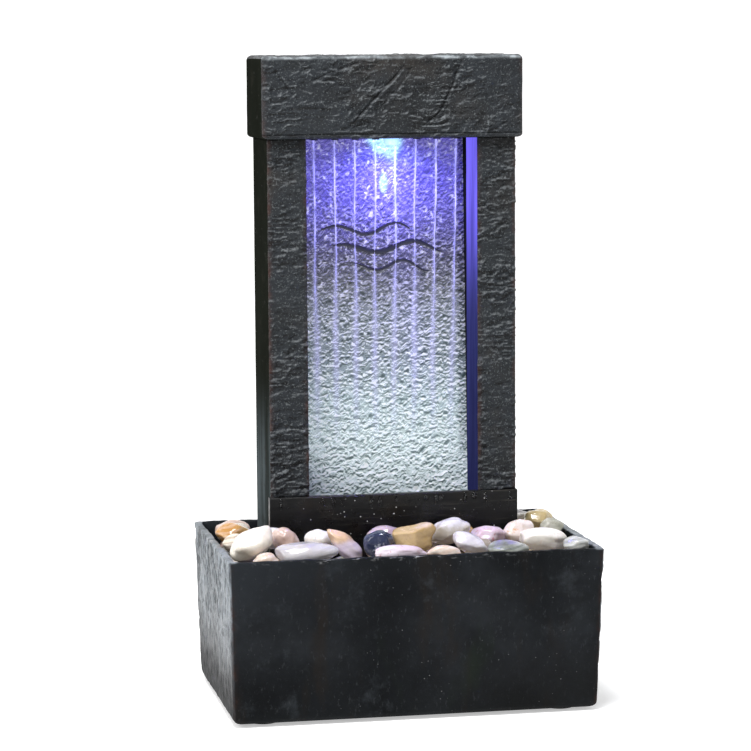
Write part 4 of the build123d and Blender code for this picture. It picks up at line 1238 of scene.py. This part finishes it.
BED_Z = 54.3  # middle of the lower layer
BED_HALF = 5.2
BED_LOOKS = ["grey_brown", "white_cream", "rose_brown", "amber_gold", "grey_lilac",
             "dark_olive", "white_banded", "rose_lilac", "grey_clear", "amber_tan"]


def turned(a, b, angle):
    """Two coordinates turned by an angle, from the first towards the second."""
    c, s = math.cos(angle), math.sin(angle)
    return a * c - b * s, a * s + b * c


def make_stone_mesh(name, middle, half, turn, material, seed, level=5, sharp=False, tilt=0.0):
    """A tumbled pebble filling its half sizes: lumps, flats, soft edges and a little pitting."""
    bm = bmesh.new()
    bmesh.ops.create_icosphere(bm, subdivisions=level, radius=1.0)
    p = np.array([v.co[:] for v in bm.verts])
    rng = np.random.default_rng(seed)
    q = p + rng.uniform(-50, 50, 3)
    scale = 1 - 0.26 * smooth(fbm(q, 1.2, 2, seed), -0.5, 0.6)
    flats, nearest, furthest, take = (9, 0.52, 0.66, 0.95) if sharp else (6, 0.70, 0.86, 0.72)
    for k in range(flats):
        d = rng.normal(size=3)
        d /= np.linalg.norm(d)
        cut = rng.uniform(nearest, furthest)
        scale -= np.clip(p @ d * scale - cut, 0, None) * take
    scale -= 0.016 * (fbm(q, 0.24, 3, seed + 3) + 1)
    p = p * scale[:, None]
    low, high = p.min(axis=0), p.max(axis=0)
    x, y, z = ((p - (low + high) / 2) / ((high - low) / 2) * np.array(half) * 1.03).T
    x, z = turned(x, z, -tilt)
    x, y = turned(x, y, turn)
    for v, place in zip(bm.verts, np.column_stack([x, y, z]) + middle):
        v.co = place * MM
    ob = from_bmesh(name, bm, material)
    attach(ob, "tray")
    return ob


def make_showing_stones():
    """The stones that show, each after the stone in the photo that it stands for."""
    seed = 1000
    for group, stones in STONES.items():
        for k, (x, y, z, a, b, c, turn, look, *tilt) in enumerate(stones):
            seed += 1
            ob = make_stone_mesh(
                f"pebble_{group}_{k}", (x, y, z - SETTLE), (a, b, c * FLATTEN), math.radians(turn),
                STONE[f"{group}_{look}"], seed, sharp=look == "gold", tilt=math.radians(sum(tilt)))
            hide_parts("pebbles_" + group)


def make_bed():
    """The lower layer, one colour after another."""
    places = [(12.6 * i, y, 6.0, 6.3) for y in (-39.6, -25.8, -12.0) for i in range(-5, 6)]
    for side in (-1, 1):
        places += [(side * 61.4, y, 7.6, 6.3) for y in (3.0, 16.6, 30.2)] + [(side * 59.6, 41.6, 6.4, 4.4)]
    places += [(13.4 * i, 41.2, 6.2, 5.0) for i in range(-2, 4)]
    for k, (x, y, a, b) in enumerate(places):
        material = STONE[BED_LOOKS[k * 7 % len(BED_LOOKS)]]
        ob = make_stone_mesh(f"bed_stone_{k}", (x, y, BED_Z), (a, b, BED_HALF), 0, material, 2000 + k, level=4)
        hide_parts("pebbles_bed")


make_showing_stones()
make_bed()


# ---- floor, lights, camera

def make_floor():
    """A pale sweep: a long floor that curves up into a wall behind. Sizes in metres."""
    m = Nodes("pale_floor")
    m.colour = m.mix(m.noise(3, 3, 0.5), (0.86, 0.86, 0.86), (0.90, 0.90, 0.90))
    material = m.done(Roughness=0.6, Specular_IOR_Level=0.15,
                      Emission_Color=(1.0, 1.0, 1.0), Emission_Strength=0.45)
    bm = bmesh.new()
    half, back, height, r = 30.0, 1.6, 3.0, 0.8
    profile = [(-half, 0.0), (-3.0, 0.0), (back - r, 0.0)]
    profile += [(back - r + r * s, r - r * c) for s, c in quarter(24)] + [(back, height)]
    left, right = ([bm.verts.new((x, y, z)) for y, z in profile] for x in (-half, half))
    for i in range(len(profile) - 1):
        bm.faces.new((left[i], right[i], right[i + 1], left[i + 1]))
    from_bmesh("floor", bm, material)


def make_area(name, place, aim, size, power, colour, size_y=None, shape="RECTANGLE"):
    """An area light at a place, turned to what it aims at."""
    data = bpy.data.lights.new(name, "AREA")
    data.shape = shape
    data.size = size
    if size_y:
        data.size_y = size_y
    data.energy = power
    data.color = colour
    ob = new_object(name, data)
    ob.location = place
    ob.rotation_mode = "QUATERNION"
    ob.rotation_quaternion = (Vector(aim) - Vector(place)).to_track_quat("-Z", "Y")
    return ob


make_floor()
make_area("key_left", (-1.05, -0.45, 0.85), (0, 0, 0.12), 0.7, 8.5, (1.0, 0.99, 0.97), 0.7)
make_area("top_rake", (-0.22, -0.40, 1.25), (0, 0.0, 0.1), 0.34, 15, (0.97, 0.98, 1.0), 0.28)
make_area("front_fill", (0.45, -1.5, 0.55), (0, 0, 0.14), 0.9, 1.5, (0.88, 0.94, 1.0), 0.7)
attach(make_area("lamp_blue", (LAMP_X, 0.0115, 0.2225), (LAMP_X, 0.0155, 0.12), 0.008, 0.028,
                  (0.16, 0.20, 1.0), shape="DISK"), "tower")
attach(make_area("lamp_front", (LAMP_X, 0.009, 0.2225), (0.0, -0.045, 0.06), 0.006, 0.05,
                  (0.36, 0.26, 1.0), shape="DISK"), "tower")

world = bpy.data.worlds.new("studio")
world.use_nodes = True
background = world.node_tree.nodes["Background"]
background.inputs["Color"].default_value = (1.0, 1.0, 1.0, 1.0)
background.inputs["Strength"].default_value = 0.24
bpy.context.scene.world = world
bpy.context.scene.view_settings.view_transform = "Standard"


def make_camera():
    """The photo's camera, solved from the object's straight edges."""
    yaw, pitch, roll = math.radians(11.137), math.radians(6.6), math.radians(-0.371)
    forward = Vector((math.sin(yaw) * math.cos(pitch), math.cos(yaw) * math.cos(pitch), -math.sin(pitch)))
    right = Vector((math.cos(yaw), -math.sin(yaw), 0))
    up = right.cross(forward)
    right, up = turned(right, up, -roll)
    data = bpy.data.cameras.new("camera")
    data.lens = 139.01
    data.sensor_width = 36
    data.clip_start, data.clip_end = 0.05, 100
    camera = new_object("camera", data)
    turn = Matrix((right, up, -forward)).transposed().to_4x4()
    camera.matrix_world = Matrix.Translation((-0.231612, -1.141308, 0.265747)) @ turn
    bpy.context.scene.camera = camera


make_camera()
